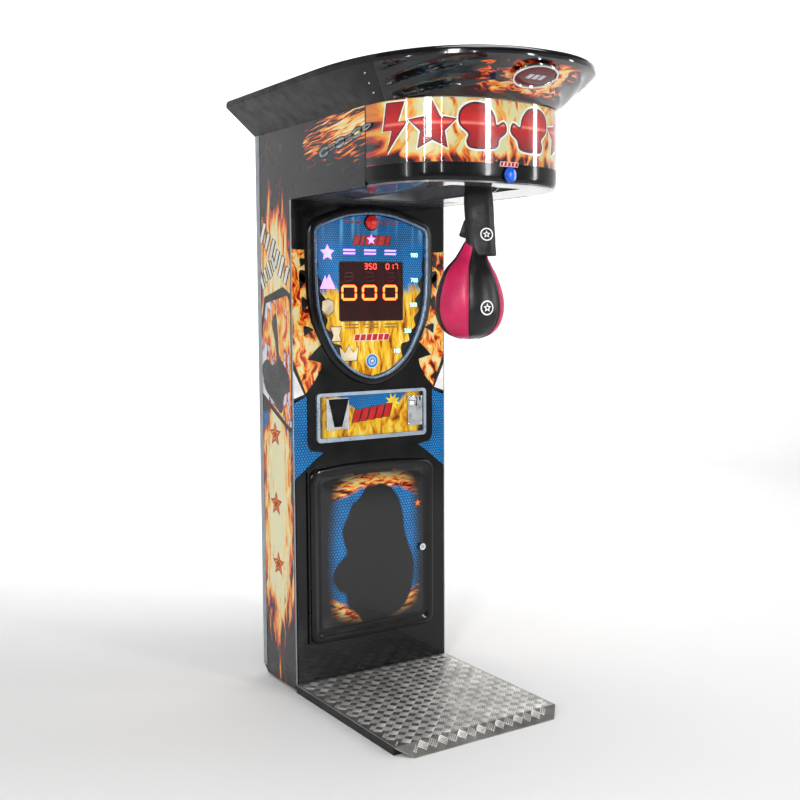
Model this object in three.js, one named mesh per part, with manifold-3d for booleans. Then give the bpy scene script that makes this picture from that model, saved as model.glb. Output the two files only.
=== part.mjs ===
// Boxing punch machine: a column with a score display, coin panel and service door,
// a platform to stand on, and a head that carries a swinging punching bag.
// Millimetres, +Z up, the player stands at -Y. Inside the model group, y = 0 is the
// front face of the column; the group is shifted so that the origin is the centre of
// the footprint box at floor level.

import * as THREE from 'three';
import { mergeVertices } from 'three/addons/utils/BufferGeometryUtils.js';
import Module from 'manifold-3d';

// ---------- driving dimensions ----------

const GAP = 0.3;                    // clearance between pieces that rest on each other
const BOARD = 18;                   // cabinet board thickness

const BODY_HALF = 325;              // half width of column and head
const COLUMN_BACK = 265;            // depth of the column behind its front face
const COLUMN_FOOT = 12;             // underside of the column boards
const HEAD_BOTTOM = 1755;
const HEAD_TOP = 2000;
const HEAD_STRAIGHT = -505;         // where the flat sides of the head end
const NOSE_FRONT = -800;            // foremost point of the head below the roof
const NOSE_POWER = 2.5;             // superellipse power of the nose in plan
const BAND_TOP = 1813;              // top of the glossy band, foot of the marquee
const SKIN = 4;                     // moulded plastic wall

const ROOF_HALF = 436;
const ROOF_FRONT = -980;
const ROOF_STRAIGHT = -361;
const ROOF_POWER = 2.3;
const ROOF_TOP = 2120;
const ROOF_RIM = 2092;              // lower edge of the upright rim
const SEAM_LOW = -601;              // seam between the roof shells at the head's top
const SEAM_HIGH = -667;             // the same seam at the rim

const PLATE_TOP = 30;               // tread height of the platform
const PLATE_FRONT = -655;
const LIP_FRONT = -702;
const PLATE_SHEET = 3;

const SHIELD_HALF = 239;            // score shield, outside of its bright trim
const SHIELD_TOP = 1723;
const SHIELD_LOW = 1122;
const SHIELD_MID = 1425;
const BEZEL = 24;                   // width of the black moulding round the shield
const TRIM = 9;
const WINDOW = { half: 134, low: 1334, high: 1544 };

const COIN = { half: 234, low: 900, high: 1077, rim: 12 };
const DOOR = { half: 267, low: 167, high: 802, arch: 819, thick: 16 };
const DOOR_HOLE = { half: 230, low: 190, high: 772 };
const HINGE = { x: -271.5, y: -10 };
const LOCK = { x: 212, z: 470 };

const PIVOT = { y: -630, z: 1800 }; // swing axis of the arm
const SHAFT_R = 10;
const SLEEVE_R = 46;
const SLEEVE_LOW = 1550;
const SLEEVE_HIGH = 1762;
const BAG_R = 112;
const BAG_LOW = 1284;
const WELL_HALF = 135;              // slot in the underside for the raised bag
const WELL_FRONT = -692;
const WELL_BACK = -92;
const FRAME_IN = 143;               // inner face of the arm frame plates
const FRAME_SHEET = 6;
const FRAME_FRONT = -745;
const FRAME_TOP = 1960;
const FLAG_X = 64;                  // inner face of the flag that the speed sensor reads
const FLAG_SHEET = 4;
const HOOK = { y: -725, z: 1880, released: -20 };

const SHIFT_Y = -(ROOF_FRONT + COLUMN_BACK) / 2;

// ---------- finishes ----------

const finish = (color, roughness, metalness = 0) =>
  new THREE.MeshStandardMaterial({ color, roughness, metalness });

const ART = finish(0xd98a1c, 0.4);
const BLACK_GLOSS = finish(0x0b0b0d, 0.15);
const BLACK_MATT = finish(0x151518, 0.6);
const GREY_EDGE = finish(0x9aa0a6, 0.4, 0.6);
const STEEL = finish(0x9fa2a6, 0.35, 0.9);
const ZINC = finish(0x8d9196, 0.45, 0.8);
const PLY = finish(0x8a6a45, 0.8);
const SHIELD_GREY = finish(0x6d7f9c, 0.3, 0.4);
const PRINTED = finish(0x1d3f8a, 0.2);
const DARK_RED = finish(0x3a0406, 0.1);
const RED_LENS = finish(0xc01818, 0.15);
const BLUE_LENS = finish(0x1c46d0, 0.15);
const PALE_GREY = finish(0xb9bcc0, 0.5);
const CLEAR = finish(0x9cc4e6, 0.05);
const VINYL = finish(0x17171a, 0.5);
const BAG_RED = finish(0xc02a46, 0.45);
const RUBBER = finish(0x202020, 0.9);
const BOARD_GREEN = finish(0x1f5a34, 0.6);
const WHITE_GLOW = finish(0xf4f4ff, 0.3);

// ---------- helpers ----------

const model = new THREE.Group();
model.position.y = SHIFT_Y;

function add(name, geometry, material) {
  const mesh = new THREE.Mesh(geometry, material);
  mesh.name = name;
  model.add(mesh);
  return mesh;
}

const wasm = await Module();
wasm.setup();

function solid(geometry) {
  const bare = geometry.clone();
  bare.deleteAttribute('normal');
  bare.deleteAttribute('uv');
  const merged = mergeVertices(bare, 1e-4);
  return new wasm.Manifold(new wasm.Mesh({
    numProp: 3,
    vertProperties: new Float32Array(merged.attributes.position.array),
    triVerts: new Uint32Array(merged.index.array),
  }));
}

function geometryOf(manifold) {
  const mesh = manifold.getMesh();
  const geometry = new THREE.BufferGeometry();
  geometry.setAttribute('position', new THREE.Float32BufferAttribute(mesh.vertProperties, 3));
  geometry.setIndex(new THREE.Uint32BufferAttribute(mesh.triVerts, 1));
  geometry.computeVertexNormals();
  return geometry;
}

function cut(geometry, ...tools) {
  return geometryOf(tools.reduce((body, tool) => body.subtract(solid(tool)), solid(geometry)));
}

function join(geometry, ...others) {
  return geometryOf(others.reduce((body, other) => body.add(solid(other)), solid(geometry)));
}

function common(geometry, other) {
  return geometryOf(solid(geometry).intersect(solid(other)));
}

function shapeOf(points) {
  return new THREE.Shape(points.map(([a, b]) => new THREE.Vector2(a, b)));
}

function box(x0, x1, y0, y1, z0, z1) {
  const geometry = new THREE.BoxGeometry(x1 - x0, y1 - y0, z1 - z0);
  return geometry.translate((x0 + x1) / 2, (y0 + y1) / 2, (z0 + z1) / 2);
}

function extrude(shape, depth, segments) {
  return new THREE.ExtrudeGeometry(shape, { depth, bevelEnabled: false, curveSegments: segments });
}

// outline in (x, y), from z0 up to z1
function prismZ(shape, z0, z1, segments = 12) {
  return extrude(shape, z1 - z0, segments).translate(0, 0, z0);
}

const ALONG_X = new THREE.Matrix4().makeBasis(
  new THREE.Vector3(0, 1, 0), new THREE.Vector3(0, 0, 1), new THREE.Vector3(1, 0, 0));
const ALONG_Y = new THREE.Matrix4().makeBasis(
  new THREE.Vector3(1, 0, 0), new THREE.Vector3(0, 0, 1), new THREE.Vector3(0, -1, 0));

// outline in (y, z), from x0 to x1
function prismX(shape, x0, x1, segments = 12) {
  return extrude(shape, x1 - x0, segments).applyMatrix4(ALONG_X).translate(x0, 0, 0);
}

// outline in (x, z), from y0 to y1
function prismY(shape, y0, y1, segments = 12) {
  return extrude(shape, y1 - y0, segments).applyMatrix4(ALONG_Y).translate(0, y1, 0);
}

function rodX(radius, x0, x1, y, z, segments = 32) {
  const geometry = new THREE.CylinderGeometry(radius, radius, x1 - x0, segments);
  return geometry.rotateZ(-Math.PI / 2).translate((x0 + x1) / 2, y, z);
}

function rodY(radius, y0, y1, x, z, segments = 32) {
  const geometry = new THREE.CylinderGeometry(radius, radius, y1 - y0, segments);
  return geometry.translate(x, (y0 + y1) / 2, z);
}

function rodZ(radius, z0, z1, x, y, segments = 32) {
  const geometry = new THREE.CylinderGeometry(radius, radius, z1 - z0, segments);
  return geometry.rotateX(Math.PI / 2).translate(x, y, (z0 + z1) / 2);
}

// a profile of [radius, height] turned about the vertical line through (x, y)
function turned(profile, x, y, segments = 32) {
  const points = profile.map(([r, h]) => new THREE.Vector2(r, h));
  return new THREE.LatheGeometry(points, segments).rotateX(Math.PI / 2).translate(x, y, 0);
}

function rectangle(x0, x1, z0, z1, radius = 0) {
  const shape = new THREE.Shape();
  if (radius === 0) {
    return shapeOf([[x0, z0], [x1, z0], [x1, z1], [x0, z1]]);
  }
  shape.moveTo(x0 + radius, z0);
  shape.lineTo(x1 - radius, z0);
  shape.absarc(x1 - radius, z0 + radius, radius, -Math.PI / 2, 0);
  shape.lineTo(x1, z1 - radius);
  shape.absarc(x1 - radius, z1 - radius, radius, 0, Math.PI / 2);
  shape.lineTo(x0 + radius, z1);
  shape.absarc(x0 + radius, z1 - radius, radius, Math.PI / 2, Math.PI);
  shape.lineTo(x0, z0 + radius);
  shape.absarc(x0 + radius, z0 + radius, radius, Math.PI, Math.PI * 1.5);
  return shape;
}

function withHoles(shape, ...holes) {
  shape.holes.push(...holes);
  return shape;
}

// half of a superellipse that bulges towards -Y, from +X round to -X
function noseArc(half, straight, front, power, steps) {
  const points = [];
  for (let i = 0; i <= steps; i += 1) {
    const t = Math.PI * i / steps;
    const x = half * Math.sign(Math.cos(t)) * Math.abs(Math.cos(t)) ** (2 / power);
    const y = straight + (front - straight) * Math.abs(Math.sin(t)) ** (2 / power);
    points.push([x, y]);
  }
  return points;
}

// a curved wall that follows the nose from one side panel to the other
function noseWall(inset, thickness, z0, z1) {
  const steps = 36;
  const start = HEAD_STRAIGHT - GAP;
  const outer = noseArc(BODY_HALF - inset, start, NOSE_FRONT + inset, NOSE_POWER, steps);
  const inner = noseArc(BODY_HALF - inset - thickness, start,
    NOSE_FRONT + inset + thickness, NOSE_POWER, steps);
  return prismZ(shapeOf([...outer, ...inner.reverse()]), z0, z1);
}

// a solid through closed rings of equal point counts, each given as [x, y, z] points
function loft(rings) {
  const count = rings[0].length;
  const positions = rings.flat(2);
  const index = [];
  for (let r = 0; r < rings.length - 1; r += 1) {
    for (let i = 0; i < count; i += 1) {
      const a = r * count + i;
      const b = r * count + (i + 1) % count;
      index.push(a, b, b + count, a, b + count, a + count);
    }
  }
  const last = (rings.length - 1) * count;
  const centre = (ring) => ring.reduce((sum, p) => sum.map((v, k) => v + p[k] / count), [0, 0, 0]);
  const low = positions.length / 3;
  positions.push(...centre(rings[0]), ...centre(rings.at(-1)));
  for (let i = 0; i < count; i += 1) {
    const next = (i + 1) % count;
    index.push(low, next, i);
    index.push(low + 1, last + i, last + next);
  }
  const geometry = new THREE.BufferGeometry();
  geometry.setAttribute('position', new THREE.Float32BufferAttribute(positions, 3));
  geometry.setIndex(index);
  geometry.computeVertexNormals();
  return geometry;
}

// ---------- cabinet ----------

function cabinet() {
  const sideOutline = shapeOf([
    [0, COLUMN_FOOT], [COLUMN_BACK - 35, COLUMN_FOOT], [COLUMN_BACK - 3, COLUMN_FOOT + 25],
    [COLUMN_BACK - 3, HEAD_TOP - GAP], [HEAD_STRAIGHT, HEAD_TOP - GAP],
    [HEAD_STRAIGHT, HEAD_BOTTOM], [0, HEAD_BOTTOM],
  ]);
  const inner = BODY_HALF - BOARD;
  add('side_panel_left', prismX(sideOutline, -BODY_HALF, -inner), ART);
  add('side_panel_right', prismX(sideOutline, inner, BODY_HALF), ART);

  const edge = 32;
  for (const [name, side] of [['left', -1], ['right', 1]]) {
    const outline = [
      [side * (BODY_HALF + GAP), COLUMN_BACK - edge], [side * (BODY_HALF + 2), COLUMN_BACK - edge],
      [side * (BODY_HALF + 2), COLUMN_BACK - 3], [side * (BODY_HALF - 1), COLUMN_BACK],
      [side * (inner - 8), COLUMN_BACK], [side * (inner - 8), COLUMN_BACK - 3 + GAP],
      [side * (BODY_HALF + GAP), COLUMN_BACK - 3 + GAP],
    ];
    if (side < 0) {
      outline.reverse();
    }
    add(`rear_edge_profile_${name}`, prismZ(shapeOf(outline), COLUMN_FOOT + 25, HEAD_TOP - 1), GREY_EDGE);
  }

  const free = inner - GAP;
  const inletHole = rectangle(-27, 27, 95, 145);
  const vent = (z) => rectangle(-90, 90, z, z + 8);
  const vents = [0, 1, 2, 3, 4, 5].map((k) => vent(1560 + 22 * k));
  const back = withHoles(rectangle(-free, free, COLUMN_FOOT + 2, HEAD_TOP - 20), inletHole, ...vents);
  add('back_panel', prismY(back, 247, COLUMN_BACK - 3), BLACK_MATT);
  add('top_board', box(-free, free, -500, 247 - GAP, HEAD_TOP - 18, HEAD_TOP - GAP), PLY);
  add('bottom_board', box(-free, free, BOARD + GAP, 247 - GAP, COLUMN_FOOT + 2, COLUMN_FOOT + 20), PLY);
  [-1, 1].forEach((side, k) => {
    const profile = [[0, 0], [20, 0], [20, 4], [12, 7], [5, 7], [5, COLUMN_FOOT + 2 - GAP],
      [0, COLUMN_FOOT + 2 - GAP]];
    add(`levelling_foot_${k + 1}`, turned(profile, side * 270, 205, 24), RUBBER);
  });

  const rimHole = (p) => rectangle(p.x0, p.x1, p.z0, p.z1);
  const front = withHoles(
    rectangle(-free, free, COLUMN_FOOT + 2, HEAD_BOTTOM - GAP),
    rectangle(-WINDOW.half + 6, WINDOW.half - 6, WINDOW.low + 6, WINDOW.high - 6, 6),
    rimHole({ x0: -197, x1: -98, z0: 937, z1: 1061 }),
    rimHole({ x0: 150, x1: 216, z0: 935, z1: 1052 }),
    rimHole({ x0: -DOOR_HOLE.half, x1: DOOR_HOLE.half, z0: DOOR_HOLE.low, z1: DOOR_HOLE.high }),
  );
  add('front_board', prismY(front, 0, BOARD, 6), BLACK_GLOSS);
}

// ---------- platform ----------

function platform() {
  const base = box(-BODY_HALF, BODY_HALF, PLATE_FRONT + 6, -GAP, 0, PLATE_TOP - PLATE_SHEET - GAP);
  add('platform_base', base, BLACK_MATT);
  const bend = shapeOf([
    [-GAP, PLATE_TOP - PLATE_SHEET], [-GAP, PLATE_TOP], [PLATE_FRONT, PLATE_TOP],
    [LIP_FRONT, PLATE_SHEET], [LIP_FRONT, 0], [LIP_FRONT + 4, 0], [PLATE_FRONT + 2, PLATE_TOP - PLATE_SHEET],
  ].reverse());
  const chamfer = 45;
  const plan = shapeOf([
    [-BODY_HALF, 0], [-BODY_HALF, LIP_FRONT + chamfer], [-BODY_HALF + chamfer, LIP_FRONT - 1],
    [BODY_HALF - chamfer, LIP_FRONT - 1], [BODY_HALF, LIP_FRONT + chamfer], [BODY_HALF, 0],
  ]);
  const sheet = prismX(bend, -BODY_HALF, BODY_HALF);
  add('platform_plate', common(sheet, prismZ(plan, -5, PLATE_TOP + 5)), STEEL);
}

// ---------- score shield ----------

// the shield outline, moved outwards by a margin
function shield(margin) {
  const sx = (SHIELD_HALF + margin) / SHIELD_HALF;
  const sz = (SHIELD_TOP - SHIELD_MID + margin) / (SHIELD_TOP - SHIELD_MID);
  const at = (x, z) => new THREE.Vector2(x * sx, SHIELD_MID + (z - SHIELD_MID) * sz);
  const top = new THREE.QuadraticBezierCurve(at(0, SHIELD_TOP), at(125, 1714), at(222, 1672));
  const corner = new THREE.QuadraticBezierCurve(at(222, 1672), at(238, 1664), at(SHIELD_HALF, 1640));
  const flank = new THREE.SplineCurve([
    at(SHIELD_HALF, 1640), at(SHIELD_HALF, 1560), at(238, 1470), at(231, 1385), at(202, 1292),
    at(155, 1210), at(81, 1147), at(0, SHIELD_LOW),
  ]);
  const right = [...top.getPoints(8), ...corner.getPoints(4).slice(1), ...flank.getPoints(28).slice(1)];
  const left = right.slice(1, -1).reverse().map((p) => new THREE.Vector2(-p.x, p.y));
  return [...right, ...left].reverse();
}

function scoreShield() {
  const ring = (outer, inner) => withHoles(new THREE.Shape(shield(outer)), new THREE.Path(shield(inner)));
  add('shield_bezel', prismY(ring(BEZEL, GAP), -16, -GAP), BLACK_GLOSS);
  add('shield_trim', prismY(ring(0, -TRIM), -20, -GAP), SHIELD_GREY);
  const windowHole = rectangle(-WINDOW.half, WINDOW.half, WINDOW.low, WINDOW.high, 8);
  const panel = withHoles(new THREE.Shape(shield(-TRIM - GAP)), windowHole);
  add('score_panel', prismY(panel, -6, -GAP, 4), PRINTED);
  const lens = rectangle(-WINDOW.half + GAP, WINDOW.half - GAP, WINDOW.low + GAP, WINDOW.high - GAP, 8);
  add('led_window', prismY(lens, -5, -GAP, 4), DARK_RED);
  add('led_board', box(-120, 120, 3, 12, WINDOW.low + 14, WINDOW.high - 14), BOARD_GREEN);
  const dome = [[0, 0], [25, 0], [25, 4], [22, 13], [14, 19], [0, 21]];
  const lamp = new THREE.LatheGeometry(dome.map(([r, h]) => new THREE.Vector2(r, h)), 32);
  add('beacon_lamp', lamp.rotateX(Math.PI).translate(0, -6 - GAP, 1686), RED_LENS);
}

// ---------- coin panel ----------

function flapOutline(margin) {
  return shapeOf([
    [-159 - margin, 961 - margin], [-134 + margin, 961 - margin],
    [-109 + margin, 1048 + margin], [-177 - margin, 1048 + margin],
  ]);
}

function coinPanel() {
  const outer = rectangle(-COIN.half, COIN.half, COIN.low, COIN.high, 14);
  const inner = rectangle(-COIN.half + COIN.rim, COIN.half - COIN.rim,
    COIN.low + COIN.rim + 3, COIN.high - COIN.rim, 6);
  add('coin_panel_frame', prismY(withHoles(outer, inner), -13, -GAP, 4), GREY_EDGE);
  const face = withHoles(
    rectangle(-COIN.half + COIN.rim + GAP, COIN.half - COIN.rim - GAP,
      COIN.low + COIN.rim + 3 + GAP, COIN.high - COIN.rim - GAP, 6),
    flapOutline(1.5), rectangle(186, 196, 1008, 1046), rectangle(162, 182, 966, 986));
  add('coin_panel_plate', prismY(face, -5, -GAP, 4), PRINTED);

  const bezel = withHoles(rectangle(-194, -101, 943, 1057, 5), flapOutline(1));
  add('coin_return_bezel', prismY(bezel, -9, -5 - GAP, 4), STEEL);
  add('coin_return_flap', prismY(flapOutline(0), -8, -6), BLACK_GLOSS);
  const cup = cut(box(-196, -99, GAP, 112, 938, 1060), box(-194, -101, GAP - 1, 110, 940, 1058));
  add('coin_return_cup', cup, BLACK_MATT);

  const mech = cut(box(153, 219, -9, -5 - GAP, 938, 1049), box(188.5, 193.5, -10, -4, 1011, 1043),
    rodY(8, -10, -4, 172, 976));
  add('coin_mech_plate', mech, STEEL);
  add('coin_reject_button', rodY(7.4, -14, -4.5, 172, 976), STEEL);
  add('coin_validator', box(156, 214, 6, 92, 944, 1046), BLACK_MATT);
  const chute = cut(box(176, 206, 30, 74, 312, 944 - GAP), box(178, 204, 32, 72, 311, 945));
  add('coin_chute', chute, ZINC);
  const floor = COLUMN_FOOT + 20 + GAP;
  const cash = cut(box(40, 225, 24, 235, floor, 300), box(43, 222, 27, 232, floor + 3, 301));
  add('cash_box', cash, ZINC);
}

// ---------- service door ----------

function serviceDoor() {
  const outline = new THREE.Shape();
  outline.moveTo(-DOOR.half, DOOR.low);
  outline.lineTo(DOOR.half, DOOR.low);
  outline.lineTo(DOOR.half, DOOR.high);
  outline.quadraticCurveTo(0, 2 * DOOR.arch - DOOR.high, -DOOR.half, DOOR.high);
  const slab = prismY(outline, -DOOR.thick, -GAP, 16);
  add('service_door', cut(slab, rodY(10, -20, 5, LOCK.x, LOCK.z)), BLACK_GLOSS);
  const barrel = cut(join(rodY(13, -DOOR.thick - 4, -DOOR.thick - GAP, LOCK.x, LOCK.z),
    rodY(9.6, -DOOR.thick - 4, 16, LOCK.x, LOCK.z)), rodY(6.3, -30, 20, LOCK.x, LOCK.z));
  add('door_lock_barrel', barrel, STEEL);
  const cam = join(rodY(6, -DOOR.thick - 5, 21, LOCK.x, LOCK.z),
    box(LOCK.x - 7, LOCK.x + 7, 19, 22, LOCK.z - 38, LOCK.z + 8));
  add('door_lock_cam', cam, ZINC);
  const knuckle = rodZ(3.6, DOOR.low + 4, DOOR.high - 4, HINGE.x, HINGE.y, 16);
  const leaf = box(HINGE.x - 2, HINGE.x + 2, HINGE.y + 2, -GAP, DOOR.low + 4, DOOR.high - 4);
  add('door_hinge', join(knuckle, leaf), STEEL);
}

// ---------- head ----------

function head() {
  const steps = 36;
  const inner = BODY_HALF - BOARD - GAP;
  const arc = noseArc(BODY_HALF - SKIN - 2 * GAP, HEAD_STRAIGHT - GAP, NOSE_FRONT + SKIN + 2 * GAP,
    NOSE_POWER, steps);
  const slots = [-1, 0, 1, 2].map((k) => rectangle(205, 265, -160 + 22 * k, -152 + 22 * k));
  const outline = [[inner, -GAP], [inner, HEAD_STRAIGHT - GAP], ...arc,
    [-inner, HEAD_STRAIGHT - GAP], [-inner, -GAP]];
  const well = rectangle(-WELL_HALF, WELL_HALF, WELL_FRONT, WELL_BACK, 12);
  const plan = withHoles(shapeOf(outline.reverse()), well, ...slots);
  add('underside_plate', prismZ(plan, HEAD_BOTTOM, HEAD_BOTTOM + 6, 6), PALE_GREY);
  add('speaker', turned([[0, 1762], [52, 1762], [52, 1768], [30, 1800], [0, 1800]], 235, -137, 24), BLACK_MATT);

  const band = noseWall(0, SKIN, HEAD_BOTTOM, BAND_TOP);
  add('nose_band', cut(band, rodY(18, NOSE_FRONT - 5, NOSE_FRONT + 20, 0, 1780)), BLACK_GLOSS);
  add('marquee_cover', noseWall(0, SKIN, BAND_TOP + GAP, HEAD_TOP - GAP), CLEAR);
  add('marquee_film', noseWall(SKIN + 1, 1.2, BAND_TOP + GAP, HEAD_TOP - GAP), RED_LENS);
  add('marquee_lamp', rodX(13, -190, 190, -690, 1978), WHITE_GLOW);

  const bezel = cut(join(rodY(24, NOSE_FRONT - 7, NOSE_FRONT - GAP - 0.4, 0, 1780),
    rodY(17.5, NOSE_FRONT - 7, NOSE_FRONT + 24, 0, 1780)), rodY(15.8, NOSE_FRONT - 9, NOSE_FRONT + 30, 0, 1780));
  add('start_button_bezel', bezel, BLACK_GLOSS);
  const cap = [[0, 30], [15, 30], [15, 2], [12, -4], [7, -7], [0, -8]].reverse();
  const dome = new THREE.LatheGeometry(cap.map(([r, h]) => new THREE.Vector2(r, h)), 32);
  add('start_button', dome.translate(0, NOSE_FRONT - 8, 1780), BLUE_LENS);
}

// ---------- roof ----------

function roofRing(half, straight, front, back, z) {
  const corner = 12;
  const arc = noseArc(half, straight, front, ROOF_POWER, 48).map(([x, y]) => [x, y, z]);
  return [...arc, [-half, back - corner, z], [-half + corner, back, z], [half - corner, back, z],
    [half, back - corner, z]].reverse();
}

function roof() {
  const lowHalf = BODY_HALF + 2;
  const outer = loft([
    roofRing(lowHalf, HEAD_STRAIGHT, NOSE_FRONT - 4, COLUMN_BACK, HEAD_TOP),
    roofRing(ROOF_HALF, ROOF_STRAIGHT, ROOF_FRONT, COLUMN_BACK, ROOF_RIM),
    roofRing(ROOF_HALF, ROOF_STRAIGHT, ROOF_FRONT, COLUMN_BACK, ROOF_TOP - 6),
    roofRing(ROOF_HALF - 6, ROOF_STRAIGHT, ROOF_FRONT + 6, COLUMN_BACK - 6, ROOF_TOP),
  ]);
  const wall = 5;
  const inner = loft([
    roofRing(lowHalf - wall - 2, HEAD_STRAIGHT, NOSE_FRONT + wall, COLUMN_BACK - wall, HEAD_TOP - 2),
    roofRing(lowHalf - wall, HEAD_STRAIGHT, NOSE_FRONT + wall - 2, COLUMN_BACK - wall, HEAD_TOP),
    roofRing(ROOF_HALF - wall, ROOF_STRAIGHT, ROOF_FRONT + wall, COLUMN_BACK - wall, ROOF_RIM + 2),
    roofRing(ROOF_HALF - wall, ROOF_STRAIGHT, ROOF_FRONT + wall, COLUMN_BACK - wall, ROOF_TOP - wall),
  ]);
  const shell = cut(outer, inner);
  const slope = (SEAM_HIGH - SEAM_LOW) / (ROOF_RIM - HEAD_TOP);
  const seam = (z) => SEAM_LOW + slope * (z - HEAD_TOP);
  const low = HEAD_TOP - 50;
  const high = ROOF_TOP + 50;
  const front = shapeOf([[-1200, low], [seam(low) - GAP, low], [seam(high) - GAP, high], [-1200, high]]);
  const rear = shapeOf([[seam(low), low], [400, low], [400, high], [seam(high), high]]);
  add('roof_front_shell', common(shell, prismX(front, -500, 500)), BLACK_GLOSS);
  add('roof_rear_cap', common(shell, prismX(rear, -500, 500)), BLACK_MATT);

  const slant = Math.atan2(NOSE_FRONT - ROOF_FRONT, ROOF_RIM - HEAD_TOP);
  const badge = new THREE.CylinderGeometry(1, 1, 8, 40).scale(78, 1, 50);
  const mesh = add('roof_badge', badge, DARK_RED);
  mesh.rotation.x = slant;
  const up = 0.6;
  const surface = NOSE_FRONT + up * (ROOF_FRONT - NOSE_FRONT);
  mesh.position.set(0, surface - 12, HEAD_TOP + up * (ROOF_RIM - HEAD_TOP) - 5);
}

// ---------- arm mechanism ----------

function armMechanism() {
  const foot = HEAD_BOTTOM + 6 + GAP;
  for (const [name, side] of [['left', -1], ['right', 1]]) {
    const x0 = side < 0 ? -FRAME_IN - FRAME_SHEET : FRAME_IN;
    const plate = box(x0, x0 + FRAME_SHEET, FRAME_FRONT, WELL_BACK, foot, FRAME_TOP);
    add(`arm_frame_${name}`, cut(plate, rodX(14, x0 - 5, x0 + 15, PIVOT.y, PIVOT.z)), ZINC);
    const b0 = side < 0 ? -FRAME_IN - FRAME_SHEET - GAP - 26 : FRAME_IN + FRAME_SHEET + GAP;
    const bearing = cut(rodX(30, b0, b0 + 26, PIVOT.y, PIVOT.z),
      rodX(SHAFT_R + GAP, b0 - 5, b0 + 31, PIVOT.y, PIVOT.z));
    add(`shaft_bearing_${name}`, bearing, STEEL);
  }
  const span = FRAME_IN - GAP;
  add('arm_frame_rear', box(-span, span, WELL_BACK - 6, WELL_BACK, foot, FRAME_TOP), ZINC);
  add('buffer_bar', box(-span, span, -470, -430, 1880, 1896), ZINC);
  add('arm_buffer', box(-35, 35, -468, -432, 1843, 1880 - GAP), RUBBER);

  const pin = rodX(5, -16, 16, HOOK.y, HOOK.z, 20);
  const bracket = box(-span, span, FRAME_FRONT, FRAME_FRONT + 5, 1900, 1940);
  const coil = box(-28, 28, FRAME_FRONT + 4, -690, 1902, 1938);
  const ears = [-16, 12].map((x) => box(x, x + 4, FRAME_FRONT + 8, HOOK.y + 10, HOOK.z - 8, 1904));
  add('latch_solenoid', join(bracket, coil, pin, ...ears), ZINC);
  const hook = shapeOf([
    [-9, 9], [9, 9], [9, -44], [37, -52], [37, -64], [-9, -60],
  ].reverse());
  const eye = rodX(5 + GAP, -10, 10, 0, 0, 20);
  const mesh = add('latch_hook', cut(prismX(hook, -4, 4), eye), STEEL);
  mesh.position.set(0, HOOK.y, HOOK.z);
  mesh.rotation.x = THREE.MathUtils.degToRad(HOOK.released);

  const notch = box(FLAG_X - 1.5, FLAG_X + FLAG_SHEET + 1.5, -590, -574, 1785, 1815);
  add('optical_sensor', cut(box(FLAG_X - 4, span, -586, -566, 1790, 1812), notch), BLACK_MATT);
}

function swingingArm() {
  add('pivot_shaft', rodX(SHAFT_R, -178, 178, PIVOT.y, PIVOT.z), STEEL);
  const [hubLow, hubHigh] = [-50, FLAG_X + FLAG_SHEET];
  const hub = rodX(28, hubLow, hubHigh, PIVOT.y, PIVOT.z);
  const tube = rodZ(17, 1572, PIVOT.z, 0, PIVOT.y);
  const lug = box(-5, 5, PIVOT.y - 8, PIVOT.y + 8, PIVOT.z, PIVOT.z + 65);
  const rim = new THREE.EllipseCurve(PIVOT.y, PIVOT.z, 55, 55, Math.PI * 1.25, Math.PI * 1.75);
  const sector = new THREE.Shape([new THREE.Vector2(PIVOT.y, PIVOT.z), ...rim.getPoints(12)]);
  const flag = prismX(sector, FLAG_X, FLAG_X + FLAG_SHEET);
  const bore = rodX(SHAFT_R + GAP, hubLow - 10, hubHigh + 10, PIVOT.y, PIVOT.z);
  add('punch_arm', cut(join(hub, tube, lug, flag), bore), STEEL);
  const vinyl = [[18, SLEEVE_LOW], [SLEEVE_R + 1, SLEEVE_LOW], [SLEEVE_R - 3, SLEEVE_HIGH - 6],
    [SLEEVE_R - 10, SLEEVE_HIGH], [31, SLEEVE_HIGH], [18, 1742], [18, SLEEVE_LOW]];
  add('arm_sleeve', turned(vinyl, 0, PIVOT.y, 36), VINYL);

  const points = [[0, BAG_LOW], [9, BAG_LOW], [12, BAG_LOW + 5]];
  const belly = new THREE.SplineCurve([
    new THREE.Vector2(12, BAG_LOW + 5), new THREE.Vector2(66, 1306), new THREE.Vector2(103, 1352),
    new THREE.Vector2(BAG_R, 1404), new THREE.Vector2(98, 1460), new THREE.Vector2(66, 1508),
    new THREE.Vector2(44, 1538), new THREE.Vector2(38, SLEEVE_LOW - GAP),
  ]);
  points.push(...belly.getPoints(22).slice(1).map((p) => [p.x, p.y]));
  points.push([0, SLEEVE_LOW - GAP]);
  add('punching_bag', turned(points, 0, PIVOT.y, 36), BAG_RED);
}

// ---------- electrics ----------

function electrics() {
  const chips = [box(-90, -50, 231, 241, 1180, 1220), box(20, 60, 229, 241, 1240, 1290)];
  add('control_board', join(box(-120, 120, 240, 247 - GAP, 1150, 1320), ...chips), BOARD_GREEN);
  add('power_supply', box(-200, -60, 190, 247 - GAP, 820, 890), ZINC);
  const inlet = join(box(-25, 25, 240, COLUMN_BACK - 2, 98, 142),
    box(-32, 32, COLUMN_BACK - 3 + GAP, COLUMN_BACK, 92, 148));
  const socket = box(-14, 14, COLUMN_BACK - 16, COLUMN_BACK + 2, 108, 130);
  add('power_inlet', cut(inlet, socket), BLACK_MATT);
}

cabinet();
platform();
scoreShield();
coinPanel();
serviceDoor();
head();
roof();
armMechanism();
swingingArm();
electrics();

export default model;
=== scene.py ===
import math
import random

import bmesh
import bpy
import numpy as np
from mathutils import Matrix, Vector
from mathutils.geometry import tessellate_polygon


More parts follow.
